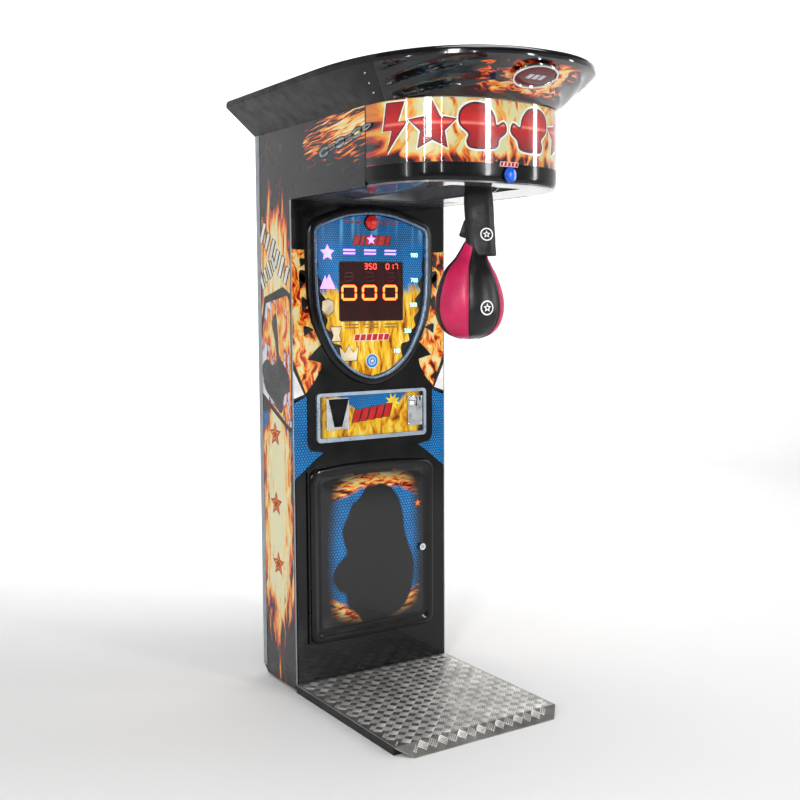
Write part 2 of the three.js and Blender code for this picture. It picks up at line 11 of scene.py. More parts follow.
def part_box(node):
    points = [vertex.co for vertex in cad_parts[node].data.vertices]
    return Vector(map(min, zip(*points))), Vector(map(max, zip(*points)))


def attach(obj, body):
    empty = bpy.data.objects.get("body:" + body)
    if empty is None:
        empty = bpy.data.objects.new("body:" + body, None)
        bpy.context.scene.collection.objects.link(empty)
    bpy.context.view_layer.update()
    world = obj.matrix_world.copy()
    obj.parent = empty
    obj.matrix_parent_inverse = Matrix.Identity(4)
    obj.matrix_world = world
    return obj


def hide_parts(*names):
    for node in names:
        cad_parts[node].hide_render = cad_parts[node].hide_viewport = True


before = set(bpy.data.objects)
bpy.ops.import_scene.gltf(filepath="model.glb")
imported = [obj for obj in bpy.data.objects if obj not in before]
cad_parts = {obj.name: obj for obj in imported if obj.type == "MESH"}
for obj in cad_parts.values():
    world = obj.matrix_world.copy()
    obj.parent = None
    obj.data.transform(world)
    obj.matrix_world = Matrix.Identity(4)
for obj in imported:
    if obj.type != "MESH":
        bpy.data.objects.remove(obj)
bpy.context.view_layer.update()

# ---------- places, in millimetres, with y = 0 at the column's front face ----------

MM = 0.001
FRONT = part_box("front_board")[0].y


def at(x, y, z):
    return Vector((x * MM, FRONT + y * MM, z * MM))


def extent(node):
    """lowest and highest corner of a CAD node in the millimetre system of this script"""
    low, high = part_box(node)
    shift = Vector((0, FRONT, 0))
    return (low - shift) / MM, (high - shift) / MM


BODY_HALF = extent("side_panel_right")[1].x
HEAD_STRAIGHT, HEAD_BOTTOM = extent("side_panel_right")[0].y, extent("nose_band")[0].z
NOSE_FRONT = extent("nose_band")[0].y
BAND_TOP = extent("nose_band")[1].z
HEAD_TOP = extent("side_panel_right")[1].z
COLUMN_BACK = extent("rear_edge_profile_left")[1].y
ROOF_HALF, ROOF_TOP = extent("roof_rear_cap")[1].x, extent("roof_rear_cap")[1].z
ROOF_FRONT = extent("roof_front_shell")[0].y
PLATE_TOP = extent("platform_plate")[1].z
PIVOT_Y = (extent("punching_bag")[0].y + extent("punching_bag")[1].y) / 2
NOSE_POWER = 2.5
ROOF_POWER = 2.3
ROOF_STRAIGHT = -361
ROOF_RIM = 2092
SEAM_LOW, SEAM_HIGH = -601, -667

# ---------- materials ----------


class Value:
    """a number socket of a node tree that can be used in arithmetic"""

    def __init__(self, graph, socket):
        self.graph, self.socket = graph, socket

    def _with(self, operation, other=None, swap=False):
        pair = (other, self) if swap else (self, other)
        return self.graph.math(operation, *[p for p in pair if p is not None])

    def __add__(self, other):
        return self._with("ADD", other)

    def __sub__(self, other):
        return self._with("SUBTRACT", other)

    def __rsub__(self, other):
        return self._with("SUBTRACT", other, swap=True)

    def __mul__(self, other):
        return self._with("MULTIPLY", other)

    def __truediv__(self, other):
        return self._with("DIVIDE", other)

    def __abs__(self):
        return self._with("ABSOLUTE")

    __radd__ = __add__
    __rmul__ = __mul__


class Paint:
    """a Principled material with the object's own coordinates, in millimetres, at hand"""

    def __init__(self, name, roughness, metallic=0.0, coat=0.0, specular=0.5):
        self.material = bpy.data.materials.new(name)
        self.material.use_nodes = True
        self.tree = self.material.node_tree
        self.shader = self.tree.nodes["Principled BSDF"]
        self.shader.inputs["Roughness"].default_value = roughness
        self.shader.inputs["Metallic"].default_value = metallic
        self.shader.inputs["Coat Weight"].default_value = coat
        self.shader.inputs["Coat Roughness"].default_value = 0.03
        self.shader.inputs["Specular IOR Level"].default_value = specular
        place = self.node("ShaderNodeTexCoord").outputs["Object"]
        scaled = self.node("ShaderNodeVectorMath")
        scaled.operation = "MULTIPLY_ADD"
        self.tree.links.new(place, scaled.inputs[0])
        scaled.inputs[1].default_value = (1 / MM,) * 3
        scaled.inputs[2].default_value = (0, -FRONT / MM, 0)
        self.place = scaled.outputs[0]
        split = self.node("ShaderNodeSeparateXYZ")
        self.tree.links.new(self.place, split.inputs[0])
        self.x, self.y, self.z = (Value(self, s) for s in split.outputs)

    def node(self, kind):
        return self.tree.nodes.new(kind)

    def feed(self, socket, value):
        if isinstance(value, Value):
            self.tree.links.new(value.socket, socket)
        elif hasattr(value, "is_linked"):
            self.tree.links.new(value, socket)
        else:
            socket.default_value = value

    def math(self, operation, *values):
        node = self.node("ShaderNodeMath")
        node.operation = operation
        for socket, value in zip(node.inputs, values):
            self.feed(socket, value)
        return Value(self, node.outputs[0])

    def least(self, a, b):
        return self.math("MINIMUM", a, b)

    def most(self, a, b):
        return self.math("MAXIMUM", a, b)

    def ease(self, value, low, high):
        """0 below low, 1 above high, smooth between; low may be the larger"""
        node = self.node("ShaderNodeMapRange")
        node.interpolation_type = "SMOOTHSTEP"
        flip = low > high
        self.feed(node.inputs["Value"], value)
        node.inputs["From Min"].default_value = min(low, high)
        node.inputs["From Max"].default_value = max(low, high)
        node.inputs["To Min"].default_value = 1.0 if flip else 0.0
        node.inputs["To Max"].default_value = 0.0 if flip else 1.0
        return Value(self, node.outputs[0])

    def vector(self, x, y, z):
        node = self.node("ShaderNodeCombineXYZ")
        for socket, value in zip(node.inputs, (x, y, z)):
            self.feed(socket, value)
        return node.outputs[0]

    def noise(self, size, detail=2.0, distortion=0.0, vector=None, rough=0.5):
        """noise whose blotches are about size millimetres across"""
        node = self.node("ShaderNodeTexNoise")
        self.tree.links.new(vector or self.place, node.inputs["Vector"])
        node.inputs["Scale"].default_value = 1 / size
        node.inputs["Detail"].default_value = detail
        node.inputs["Distortion"].default_value = distortion
        node.inputs["Roughness"].default_value = rough
        return Value(self, node.outputs["Fac"])

    def ramp(self, value, stops):
        node = self.node("ShaderNodeValToRGB")
        self.feed(node.inputs[0], value)
        elements = node.color_ramp.elements
        while len(elements) < len(stops):
            elements.new(0.5)
        for element, (position, colour) in zip(elements, sorted(stops)):
            element.position = position
            element.color = (*colour, 1)
        return node.outputs[0]

    def mix(self, factor, a, b):
        node = self.node("ShaderNodeMix")
        node.data_type = "RGBA"
        self.feed(node.inputs[0], factor)
        for socket, value in zip((node.inputs[6], node.inputs[7]), (a, b)):
            self.feed(socket, (*value, 1) if isinstance(value, tuple) else value)
        return node.outputs[2]

    def colour(self, value):
        self.feed(self.shader.inputs["Base Color"], (*value, 1) if isinstance(value, tuple) else value)

    def glow(self, value, strength):
        self.feed(self.shader.inputs["Emission Color"], (*value, 1) if isinstance(value, tuple) else value)
        self.shader.inputs["Emission Strength"].default_value = strength

    def rough(self, value, low, high):
        node = self.node("ShaderNodeMapRange")
        self.feed(node.inputs["Value"], value)
        node.inputs["From Min"].default_value = 0.3
        node.inputs["From Max"].default_value = 0.7
        node.inputs["To Min"].default_value = low
        node.inputs["To Max"].default_value = high
        self.tree.links.new(node.outputs[0], self.shader.inputs["Roughness"])

    def bump(self, height, depth):
        """height runs from 0 to 1 and depth is in millimetres"""
        node = self.node("ShaderNodeBump")
        node.inputs["Strength"].default_value = 1.0
        node.inputs["Distance"].default_value = depth * MM
        self.feed(node.inputs["Height"], height)
        for name in ("Normal", "Coat Normal"):
            self.tree.links.new(node.outputs[0], self.shader.inputs[name])


def tinted(paint, colour, size, amount):
    """a colour that wanders a little darker and lighter"""
    low = tuple(c * (1 - amount) for c in colour)
    high = tuple(min(1, c * (1 + amount)) for c in colour)
    return paint.mix(paint.ease(paint.noise(size, 3), 0.3, 0.7), low, high)


def plain(name, colour, roughness, metallic=0.0, coat=0.0, grain=0.0, grain_size=1.0, wander=0.12,
          glow=0.0):
    paint = Paint(name, roughness, metallic, coat)
    shade = tinted(paint, colour, 60, wander)
    paint.colour(shade)
    paint.rough(paint.noise(45, 4), roughness * 0.8, min(1, roughness * 1.25))
    if grain:
        paint.bump(paint.noise(grain_size, 3), grain)
    if glow:
        paint.glow(colour, glow)
    return paint.material


def gloss_black():
    paint = Paint("black_moulding", 0.16, coat=0.35, specular=0.35)
    paint.colour(tinted(paint, (0.006, 0.006, 0.007), 90, 0.3))
    paint.rough(paint.noise(70, 5), 0.10, 0.26)
    paint.bump(paint.noise(14, 2), 0.05)
    return paint.material


def brushed(name, colour, roughness):
    """bare metal with fine upright brush lines"""
    paint = Paint(name, roughness, metallic=1.0)
    lines = paint.vector(paint.x, paint.y, paint.z * 0.05)
    hair = paint.noise(0.8, 2, vector=lines)
    shade = paint.mix(paint.ease(hair, 0.3, 0.7), tuple(c * 0.86 for c in colour), colour)
    paint.colour(shade)
    paint.rough(paint.noise(30, 4), roughness * 0.8, roughness * 1.3)
    paint.bump(hair, 0.02)
    return paint.material


FLAME = [(0.00, (0.006, 0.006, 0.007)), (0.16, (0.006, 0.005, 0.006)), (0.19, (0.16, 0.008, 0.003)),
         (0.25, (0.50, 0.028, 0.006)), (0.32, (0.70, 0.060, 0.008)), (0.35, (0.82, 0.19, 0.015)),
         (0.46, (0.90, 0.30, 0.03)), (0.49, (0.92, 0.44, 0.07)), (0.60, (0.90, 0.52, 0.11)),
         (0.64, (0.86, 0.68, 0.27)), (0.90, (0.80, 0.74, 0.42))]
YELLOW_FLAME = [(0.00, (0.06, 0.02, 0.0)), (0.20, (0.22, 0.05, 0.0)), (0.32, (0.50, 0.16, 0.0)),
                (0.46, (0.66, 0.31, 0.004)), (0.62, (0.78, 0.47, 0.012)), (0.80, (0.84, 0.56, 0.05)),
                (0.97, (0.88, 0.70, 0.28))]
SMOKE_BLACK = (0.008, 0.008, 0.010)


def tongues(paint, across, along, width, height, wobble=1.6, phase=0.0):
    """noise drawn out along one direction, like licking flames; from about 0.2 to 0.8"""
    sway = paint.noise(height * 0.8, 1, vector=paint.vector(across, along, phase)) * (width * wobble)
    place = paint.vector((across + sway) / width, along / height, phase)
    return paint.noise(1.0, 3.5, 0.7, vector=place, rough=0.55)


def hex_dots(paint, a, b, pitch):
    """1 inside round dots that stand on a triangular grid, 0 between them"""
    rise = pitch * math.sqrt(3)

    def nearest(shift):
        parts = []
        for value, step in ((a, pitch), (b, rise)):
            whole = paint.math("FRACT", value / step + shift) - 0.5
            parts.append(whole * step)
        squared = parts[0] * parts[0] + parts[1] * parts[1]
        return paint.math("SQRT", squared)

    distance = paint.least(nearest(100.0), nearest(100.5))
    return paint.ease(distance, 0.42 * pitch, 0.30 * pitch)


def hex_blue(paint, a, b, pitch=11.0):
    dots = hex_dots(paint, a, b, pitch)
    ground = tinted(paint, (0.002, 0.060, 0.20), 80, 0.25)
    dot = tinted(paint, (0.008, 0.25, 0.58), 120, 0.18)
    return paint.mix(dots, ground, dot)


def side_art():
    """flames, a blue dotted field and smoke on the black laminate of the cabinet's sides"""
    paint = Paint("side_artwork", 0.22, coat=0.5)
    y, z = paint.y, paint.z
    lick = tongues(paint, y, z, 17, 120)
    offset = abs(y - 126.0)
    column = 1.0 - paint.ease(y, 8, -4)
    waist = 128.0 - 74.0 * paint.ease(z, 870, 1010)
    tail = paint.ease(z + offset * 0.7, 90, 470)
    low_heat = lick * 2.3 - 0.98 + (1.0 - offset / waist) * 1.15 - (1.0 - tail) * 1.2
    low_heat = low_heat - paint.ease(z, 1010, 1100) * 1.5
    tall = tongues(paint, y, z, 17, 170, phase=7.0)
    fork = abs(paint.math("SINE", (y - 5.0) / 36.0))
    crest = paint.ease(z, 1540, 1900)
    up_heat = tall * 2.3 - 0.92 + (1.0 - offset / 140.0) * 0.75 - crest * (1.65 - fork * 0.95)
    up_heat = up_heat - paint.ease(z, 1240, 1120) * 1.5
    low_heat = low_heat - (1.0 - column) * 4.0
    up_heat = up_heat - (1.0 - column) * 4.0
    streak = tongues(paint, z + y * 0.12, y, 9, 105, phase=3.0)
    band = abs(z - 1915.0 + y * 0.10) / 62.0
    reach = paint.ease(y, -190, -420)
    head_heat = streak * 3.0 - 1.62 + (1.0 - band) * 0.42 + reach * 0.34 - paint.ease(y, -120, -30) * 3.0
    pale = [(p, (c[0], min(1, c[1] * 1.02), c[2] * 1.1)) for p, c in FLAME]
    blue = hex_blue(paint, y, z)
    in_blue = paint.ease(z, 1010, 990) * paint.ease(z, 845, 905) * paint.ease(y, -2, 2)
    ground = paint.mix(in_blue, tinted(paint, SMOKE_BLACK, 160, 0.4), blue)
    smoke = paint.ease(paint.noise(110, 4, 0.6), 0.45, 0.75) * paint.ease(y, -80, -260)
    smoke = smoke * paint.ease(z, 1800, 1880)
    ground = paint.mix(smoke * 0.8, ground, (0.006, 0.055, 0.075))
    heats = paint.most(paint.most(low_heat, up_heat), head_heat)
    flame = paint.ramp(heats, pale)
    paint.colour(paint.mix(paint.ease(heats, 0.15, 0.19), ground, flame))
    paint.rough(paint.noise(90, 4), 0.16, 0.32)
    return paint.material


def strip_art():
    """the flame strips beside the score shield: orange and cream with black licks"""
    paint = Paint("strip_artwork", 0.22, coat=0.5)
    x, z = paint.x, paint.z
    lick = tongues(paint, x, z, 24, 58, wobble=2.4, phase=11.0)
    heat = lick * 2.5 - 0.76 - paint.ease(z, 1150, 1085) * 0.12
    paint.colour(paint.ramp(heat, FLAME))
    return paint.material


def blue_art():
    paint = Paint("blue_dot_artwork", 0.22, coat=0.5)
    paint.colour(hex_blue(paint, paint.x, paint.z))
    return paint.material


def shield_art():
    """blue dots with hanging streaks of light above, yellow flames below"""
    paint = Paint("shield_artwork", 0.12, coat=0.8)
    x, z = paint.x, paint.z
    lick = tongues(paint, x, z, 18, 100, phase=5.0)
    streak = paint.noise(1.0, 1, vector=paint.vector(x / 34.0, z / 400.0, 2.0))
    top_light = paint.ease(z, 1560, 1720) * paint.ease(streak, 0.5, 0.68)
    blue = paint.mix(top_light * 0.8, hex_blue(paint, x, z, 9.0), (0.25, 0.65, 0.95))
    rise = paint.ease(z + lick * 150.0, 1545, 1500)
    flame = paint.ramp(lick * 2.4 - 0.62 + paint.ease(z, 1300, 1480) * 0.10, YELLOW_FLAME)
    shade = paint.mix(rise, blue, flame)
    edge = abs(x) / 215.0
    paint.colour(shade)
    paint.glow(shade, 0.12)
    paint.rough(edge, 0.10, 0.16)
    return paint.material


def coin_art():
    paint = Paint("coin_panel_artwork", 0.2, coat=0.6)
    x, z = paint.x, paint.z
    lick = tongues(paint, x, z, 22, 60, phase=9.0)
    bowl = abs(x - 5.0) / 130.0
    rise = paint.ease(z + lick * 70.0 - bowl * bowl * 55.0, 1040, 1020)
    flame = paint.ramp(lick * 2.3 - 0.55, YELLOW_FLAME)
    shade = paint.mix(rise, hex_blue(paint, x, z, 8.0), flame)
    dark = paint.ease(abs(x + 4.0), 190, 218)
    paint.colour(paint.mix(dark, shade, (0.02, 0.012, 0.01)))
    return paint.material


def door_art():
    """blue dots at the sides, flames above and below, and a soft dark cloud in the middle"""
    paint = Paint("door_artwork", 0.2, coat=0.5)
    x, z = paint.x, paint.z
    haze = paint.noise(70, 3, 0.4)
    broad = paint.noise(150, 1.2, 0.3)
    lick = tongues(paint, z, x, 13, 60, phase=4.0)
    lower, upper = 212.0, 784.0
    blue = hex_blue(paint, x, z, 12.0)
    rim = paint.least(z - lower, upper - z)
    heat = lick * 2.4 - 0.82 + (1.0 - rim / 90.0) * 0.22
    flame = paint.ramp(heat, FLAME)
    bow = abs(x - 5.0) / 200.0
    shade = paint.mix(paint.ease(rim + haze * 50.0 - bow * bow * 55.0, 96, 76), blue, flame)
    body = abs(x - 10.0 - (broad - 0.5) * 90.0) / (128.0 + 40.0 * paint.ease(z, 560, 400))
    waist = abs(z - 470.0) / 262.0
    cloud = body * body + waist * waist * waist * waist + (broad - 0.5) * 0.9
    shade = paint.mix(paint.ease(cloud, 1.06, 0.90), shade, (0.011, 0.011, 0.012))
    fade_side = paint.ease(abs(x - 8.0) + waist * waist * 22.0, 214, 150)
    fade_ends = paint.ease(rim - bow * bow * 40.0, -10, 62)
    paint.colour(paint.mix(fade_side * fade_ends, SMOKE_BLACK, shade))
    return paint.material


def marquee_art():
    """backlit flames: cream and gold in front, dark towards the sides"""
    paint = Paint("marquee_artwork", 0.25)
    x, z = paint.x, paint.z
    lick = tongues(paint, x, z, 28, 80, phase=1.0)
    side = paint.ease(abs(x), 285, 326)
    foot = paint.ease(z, 1858, 1822)
    heat = lick * 2.2 - 0.46 - side * 0.42 - foot * 0.38
    shade = paint.ramp(heat, FLAME)
    paint.colour(shade)
    paint.glow(shade, 0.22)
    return paint.material


def roof_art():
    """gloss black with flames and a cold glow painted on the front fascia"""
    paint = Paint("roof_shell_artwork", 0.12, coat=0.8)
    x, y, z = paint.x, paint.y, paint.z
    lick = tongues(paint, z, x, 9, 46, phase=6.0)
    near = paint.ease(abs(x - 20.0), 250, 70)
    inside = paint.ease(z, 2006, 2024) * paint.ease(z, 2091, 2072) * paint.ease(y, -690, -790)
    heat = (lick * 2.5 - 1.5 + near * 0.66) * inside
    cold = paint.ease(abs(x), 150, 235) * inside * paint.ease(abs(x), 400, 290)
    ground = paint.mix(cold * paint.ease(lick, 0.46, 0.66) * 0.7, SMOKE_BLACK, (0.006, 0.085, 0.13))
    flame = paint.ramp(heat, FLAME)
    paint.colour(paint.mix(paint.ease(heat, 0.15, 0.19), ground, flame))
    paint.rough(paint.noise(70, 5), 0.07, 0.2)
    return paint.material


def leather(name, colour, roughness=0.42):
    paint = Paint(name, roughness, coat=0.15)
    paint.colour(tinted(paint, colour, 50, 0.10))
    pebble = paint.node("ShaderNodeTexVoronoi")
    paint.tree.links.new(paint.place, pebble.inputs["Vector"])
    pebble.feature = "SMOOTH_F1"
    pebble.inputs["Scale"].default_value = 1 / 1.6
    paint.bump(Value(paint, pebble.outputs["Distance"]) + paint.noise(18, 3) * 1.4, 0.22)
    paint.rough(paint.noise(26, 4), roughness * 0.8, roughness * 1.25)
    return paint.material


def tread_steel(name, colour):
    paint = Paint(name, 0.36, metallic=0.9)
    worn = paint.ease(paint.noise(120, 5, 0.3), 0.35, 0.7)
    paint.colour(paint.mix(worn, tuple(0.72 * c for c in colour), colour))
    paint.rough(paint.noise(35, 5), 0.30, 0.48)
    paint.bump(paint.noise(2.5, 3), 0.06)
    return paint.material


def clear_plastic():
    paint = Paint("clear_acrylic", 0.03)
    paint.colour((0.96, 0.98, 1.0))
    paint.shader.inputs["Transmission Weight"].default_value = 1.0
    paint.shader.inputs["IOR"].default_value = 1.46
    return paint.material


def lit(name, colour, strength):
    paint = Paint(name, 0.3)
    paint.colour(colour)
    paint.glow(colour, strength)
    return paint.material


BLACK = gloss_black()
MATT = plain("textured_black", (0.020, 0.020, 0.021), 0.42, grain=0.25, grain_size=2.2, wander=0.3)
LAMINATE = plain("black_laminate", (0.012, 0.012, 0.013), 0.3, grain=0.05, grain_size=4, wander=0.3)
PLY = plain("raw_board", (0.42, 0.28, 0.16), 0.75, grain=0.2, grain_size=5)
EDGE = brushed("grey_profile", (0.46, 0.48, 0.51), 0.38)
STEEL = brushed("ground_steel", (0.62, 0.63, 0.64), 0.28)
CHROME = plain("chrome", (0.80, 0.81, 0.82), 0.10, metallic=1.0, wander=0.03)
ZINC = plain("zinc_plate", (0.52, 0.54, 0.56), 0.38, metallic=0.9, grain=0.05, grain_size=8)
TRIM_BLUE = plain("shield_trim_paint", (0.17, 0.25, 0.37), 0.26, metallic=0.55, coat=0.5)
COIN_TRIM = plain("coin_trim_paint", (0.40, 0.47, 0.55), 0.3, metallic=0.6, coat=0.3)
UNDERSIDE = plain("underside_coat", (0.16, 0.16, 0.17), 0.2, coat=0.7, grain=0.03, grain_size=9)
RUBBER = plain("black_rubber", (0.018, 0.018, 0.018), 0.75, grain=0.15, grain_size=2)
CIRCUIT = plain("circuit_green", (0.015, 0.12, 0.05), 0.4)
WINDOW_RED = plain("display_filter", (0.035, 0.001, 0.002), 0.08, coat=0.6, wander=0.25)
RED_LENS = plain("red_lens", (0.62, 0.012, 0.014), 0.10, coat=0.8, glow=0.25)
BLUE_LENS = plain("blue_lens", (0.01, 0.13, 0.72), 0.12, coat=0.6, glow=0.22)
BADGE_RED = plain("badge_red", (0.13, 0.005, 0.008), 0.16, coat=0.5)
WHITE_PRINT = plain("white_print", (0.82, 0.82, 0.80), 0.35)
BLACK_PRINT = plain("black_print", (0.008, 0.008, 0.009), 0.28, coat=0.3)
RED_PRINT = plain("red_print", (0.55, 0.012, 0.012), 0.25, coat=0.4)
STAR_RED = plain("star_red", (0.42, 0.03, 0.015), 0.3)
ORANGE_PRINT = plain("orange_print", (0.85, 0.34, 0.04), 0.3)
GREY_PRINT = plain("grey_print", (0.62, 0.63, 0.65), 0.3)
ICE_PRINT = plain("ice_print", (0.42, 0.60, 0.80), 0.3)
DIGIT_RED = lit("digit_glow", (1.0, 0.10, 0.015), 5.0)
DIGIT_SMALL = lit("small_digit_glow", (1.0, 0.05, 0.03), 3.0)
DIGIT_DIM = plain("dark_segment", (0.075, 0.003, 0.003), 0.2)
SCORE_GLOW = lit("score_glow", (0.45, 1.0, 0.72), 1.6)
PURPLE_GLOW = lit("purple_glow", (0.40, 0.22, 1.0), 1.6)
LAMP_WHITE = lit("lamp_white", (1.0, 0.98, 0.95), 2.0)
# one steel in two copies: the plate painted darker and its raised bars lighter, painted shade between the
# bars and painted light on them, besides the blotchy wear
PLATE_STEEL_PAINTED_SHADE = tread_steel("tread_steel", (0.46, 0.45, 0.43))
BAR_STEEL_PAINTED_LIGHT = tread_steel("tread_bars_painted_lighter", (0.84, 0.83, 0.80))
LEATHER_RED = leather("bag_vinyl_red", (0.60, 0.022, 0.115))
LEATHER_BLACK = leather("bag_vinyl_black", (0.010, 0.010, 0.011), 0.36)
SLEEVE_VINYL = leather("sleeve_vinyl", (0.011, 0.011, 0.012), 0.5)
DARK_SHAPE_PRINT = plain("dark_shape_print", (0.035, 0.035, 0.04), 0.25, coat=0.4, wander=0.5)
LINK_PRINT = plain("link_print", (0.30, 0.38, 0.42), 0.3, wander=0.5)
CREAM_PRINT = plain("cream_print", (0.80, 0.66, 0.46), 0.3, wander=0.3)
BROWN_PRINT = plain("brown_print", (0.30, 0.15, 0.02), 0.3)
BLUE_PRINT = plain("blue_print", (0.02, 0.20, 0.55), 0.3)
YELLOW_PRINT = plain("yellow_print", (0.92, 0.62, 0.05), 0.3, wander=0.25)
CLEAR = clear_plastic()
WHITE_LIT = plain("marquee_white", (0.85, 0.84, 0.78), 0.3, glow=0.4)
DARK_RED_PRINT = plain("marquee_dark_red", (0.12, 0.004, 0.004), 0.3)
BLUE_PLASTIC = plain("button_ring_plastic", (0.01, 0.10, 0.55), 0.2, coat=0.5, glow=0.1)
THREAD = plain("thread", (0.10, 0.09, 0.09), 0.7)

# ---------- mesh helpers ----------


def build(name, vertices, faces, material, body="cabinet", slot=None, smooth=40, bevel=0.0):
    """a piece from millimetre vertices, riding on a body; its edges are rounded if asked"""
    mesh = bpy.data.meshes.new(name)
    mesh.from_pydata([tuple(at(*v)) for v in vertices], [], [tuple(f) for f in faces])
    bm = bmesh.new()
    bm.from_mesh(mesh)
    bmesh.ops.remove_doubles(bm, verts=bm.verts[:], dist=1e-6)
    bmesh.ops.recalc_face_normals(bm, faces=bm.faces[:])
    bm.to_mesh(mesh)
    bm.free()
    piece = bpy.data.objects.new(name, mesh)
    bpy.context.scene.collection.objects.link(piece)
    for m in material if isinstance(material, list) else [material]:
        mesh.materials.append(m)
    if bevel:
        rounding = piece.modifiers.new("rounding", "BEVEL")
        rounding.width = bevel * MM
        rounding.segments = 3
        rounding.limit_method = "ANGLE"
        rounding.angle_limit = math.radians(35)
        bake_modifiers(piece)
    piece.data.shade_smooth()
    piece.data.set_sharp_from_angle(angle=math.radians(smooth))
    if bevel:
        even = piece.modifiers.new("flat_faces_first", "WEIGHTED_NORMAL")
        even.keep_sharp = True
        bake_modifiers(piece)
    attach(piece, body)
    return piece


def bake_modifiers(piece):
    bpy.context.view_layer.update()
    graph = bpy.context.evaluated_depsgraph_get()
    fresh = bpy.data.meshes.new_from_object(piece.evaluated_get(graph))
    piece.modifiers.clear()
    piece.data = fresh


def strip_faces(rows, columns, close_rows=False, close_columns=False):
    """quads of a grid of points stored row after row"""
    faces = []
    for r in range(rows if close_rows else rows - 1):
        for c in range(columns if close_columns else columns - 1):
            right, below = (c + 1) % columns, (r + 1) % rows
            faces.append((r * columns + c, r * columns + right, below * columns + right, below * columns + c))
    return faces


def flat_mesh(outline, holes, longest):
    """a bmesh of a flat outline with holes, split so that no edge is longer than longest"""
    loops = [[Vector((a, b, 0)) for a, b in loop] for loop in (outline, *holes)]
    points = [p for loop in loops for p in loop]
    bm = bmesh.new()
    verts = [bm.verts.new(p) for p in points]
    for triangle in tessellate_polygon(loops):
        if len(set(triangle)) == 3:
            bm.faces.new([verts[i] for i in triangle])
    for _ in range(8 if longest else 0):
        long_edges = [e for e in bm.edges if e.calc_length() > longest]
        if not long_edges:
            break
        bmesh.ops.subdivide_edges(bm, edges=long_edges, cuts=1)
        bmesh.ops.triangulate(bm, faces=bm.faces[:])
    bm.verts.index_update()
    return bm


def sheet(name, shapes, mapper, thickness, material, longest=None, **more):
    """thin raised shapes laid on a surface; each shape is an outline and a list of holes, and
    mapper(a, b, height) gives the point at a height above the surface"""
    vertices, faces = [], []
    for outline, holes in shapes:
        bm = flat_mesh(outline, holes, longest)
        base = len(vertices)
        flat = [(v.co.x, v.co.y) for v in bm.verts]
        count = len(flat)
        vertices += [mapper(a, b, thickness) for a, b in flat]
        vertices += [mapper(a, b, 0.0) for a, b in flat]
        for face in bm.faces:
            ring = [base + v.index for v in face.verts]
            faces.append(ring)
            faces.append([i + count for i in reversed(ring)])
        for edge in bm.edges:
            if len(edge.link_faces) == 1:
                a, b = (base + v.index for v in edge.verts)
                faces.append((a, b, b + count, a + count))
        bm.free()
    return build(name, vertices, faces, material, **more)


def on_front(base=0.0):
    return lambda a, b, h: (a, -base - h, b)


def on_side(side, base=0.0):
    return lambda a, b, h: (side * (BODY_HALF + base + h), a, b)


def circle(x, z, radius, count=40):
    step = 2 * math.pi / count
    return [(x + radius * math.cos(i * step), z + radius * math.sin(i * step)) for i in range(count)]


def oval(x, z, rx, rz, tilt=0.0, count=36):
    points = circle(0, 0, 1, count)
    c, s = math.cos(tilt), math.sin(tilt)
    return [(x + rx * a * c - rz * b * s, z + rx * a * s + rz * b * c) for a, b in points]


def star(x, z, radius, inner=0.45, tips=5, turn=0.0):
    points = []
    for i in range(2 * tips):
        angle = math.pi / 2 + turn + i * math.pi / tips
        r = radius * (inner if i % 2 else 1)
        points.append((x + r * math.cos(angle), z + r * math.sin(angle)))
    return points


def bar(x0, x1, z0, z1, lean=0.0):
    return [(x0, z0), (x1, z0), (x1 + lean, z1), (x0 + lean, z1)]


def slab(x, z, angle, half_long, half_wide):
    """a leaning bar about a middle point, as a slightly skewed rectangle"""
    c, s = math.cos(angle), math.sin(angle)
    corners = ((-1, -1), (1, -0.6), (1, 1), (-1, 0.6))
    points = []
    for u, v in corners:
        points.append((x + c * half_long * u - s * half_wide * v, z + s * half_long * u + c * half_wide * v))
    return points


def rounded(x0, x1, z0, z1, radius, steps=6):
    points = []
    corners = ((x1 - radius, z0 + radius, -90), (x1 - radius, z1 - radius, 0),
               (x0 + radius, z1 - radius, 90), (x0 + radius, z0 + radius, 180))
    for cx, cz, start in corners:
        for i in range(steps + 1):
            angle = math.radians(start + 90 * i / steps)
            points.append((cx + radius * math.cos(angle), cz + radius * math.sin(angle)))
    return points


def spline(four, steps):
    """points on the smooth curve from the second of four points up to the third"""
    p = [np.array(point, float) for point in four]
    out = []
    for j in range(steps):
        t = j / steps
        q = 0.5 * (2 * p[1] + (p[2] - p[0]) * t + (2 * p[0] - 5 * p[1] + 4 * p[2] - p[3]) * t * t
                   + (3 * p[1] - p[0] - 3 * p[2] + p[3]) * t ** 3)
        out.append(tuple(q))
    return out


def curve_loop(points, steps=6):
    """a smooth closed loop through the points"""
    n = len(points)
    out = []
    for i in range(n):
        out += spline([points[(i + k - 1) % n] for k in range(4)], steps)
    return out


def fine_curve(points, steps=8):
    """a smooth open curve through the points"""
    ends = [points[0], *points, points[-1]]
    out = []
    for i in range(len(points) - 1):
        out += spline(ends[i:i + 4], steps)
    return [*out, points[-1]]


def bulged(share, power):
    """a sine or cosine bent so that it draws a superellipse, rounder than a box and squarer than an oval"""
    return math.copysign(abs(share) ** (2 / power), share)


def mirrored(points):
    """a right-hand outline from top to bottom, closed by its mirror image"""
    return points + [(-x, z) for x, z in reversed(points) if abs(x) > 0.01]


def grown(loop, distance):
    """the loop moved outwards by a distance"""
    points = np.array(loop, float)
    edge = np.roll(points, -1, 0) - np.roll(points, 1, 0)
    normal = np.stack([edge[:, 1], -edge[:, 0]], 1)
    normal /= np.linalg.norm(normal, axis=1)[:, None]
    area = np.sum(points[:, 0] * np.roll(points[:, 1], -1) - np.roll(points[:, 0], -1) * points[:, 1])
    return [tuple(p) for p in points + normal * distance * (1 if area > 0 else -1)]


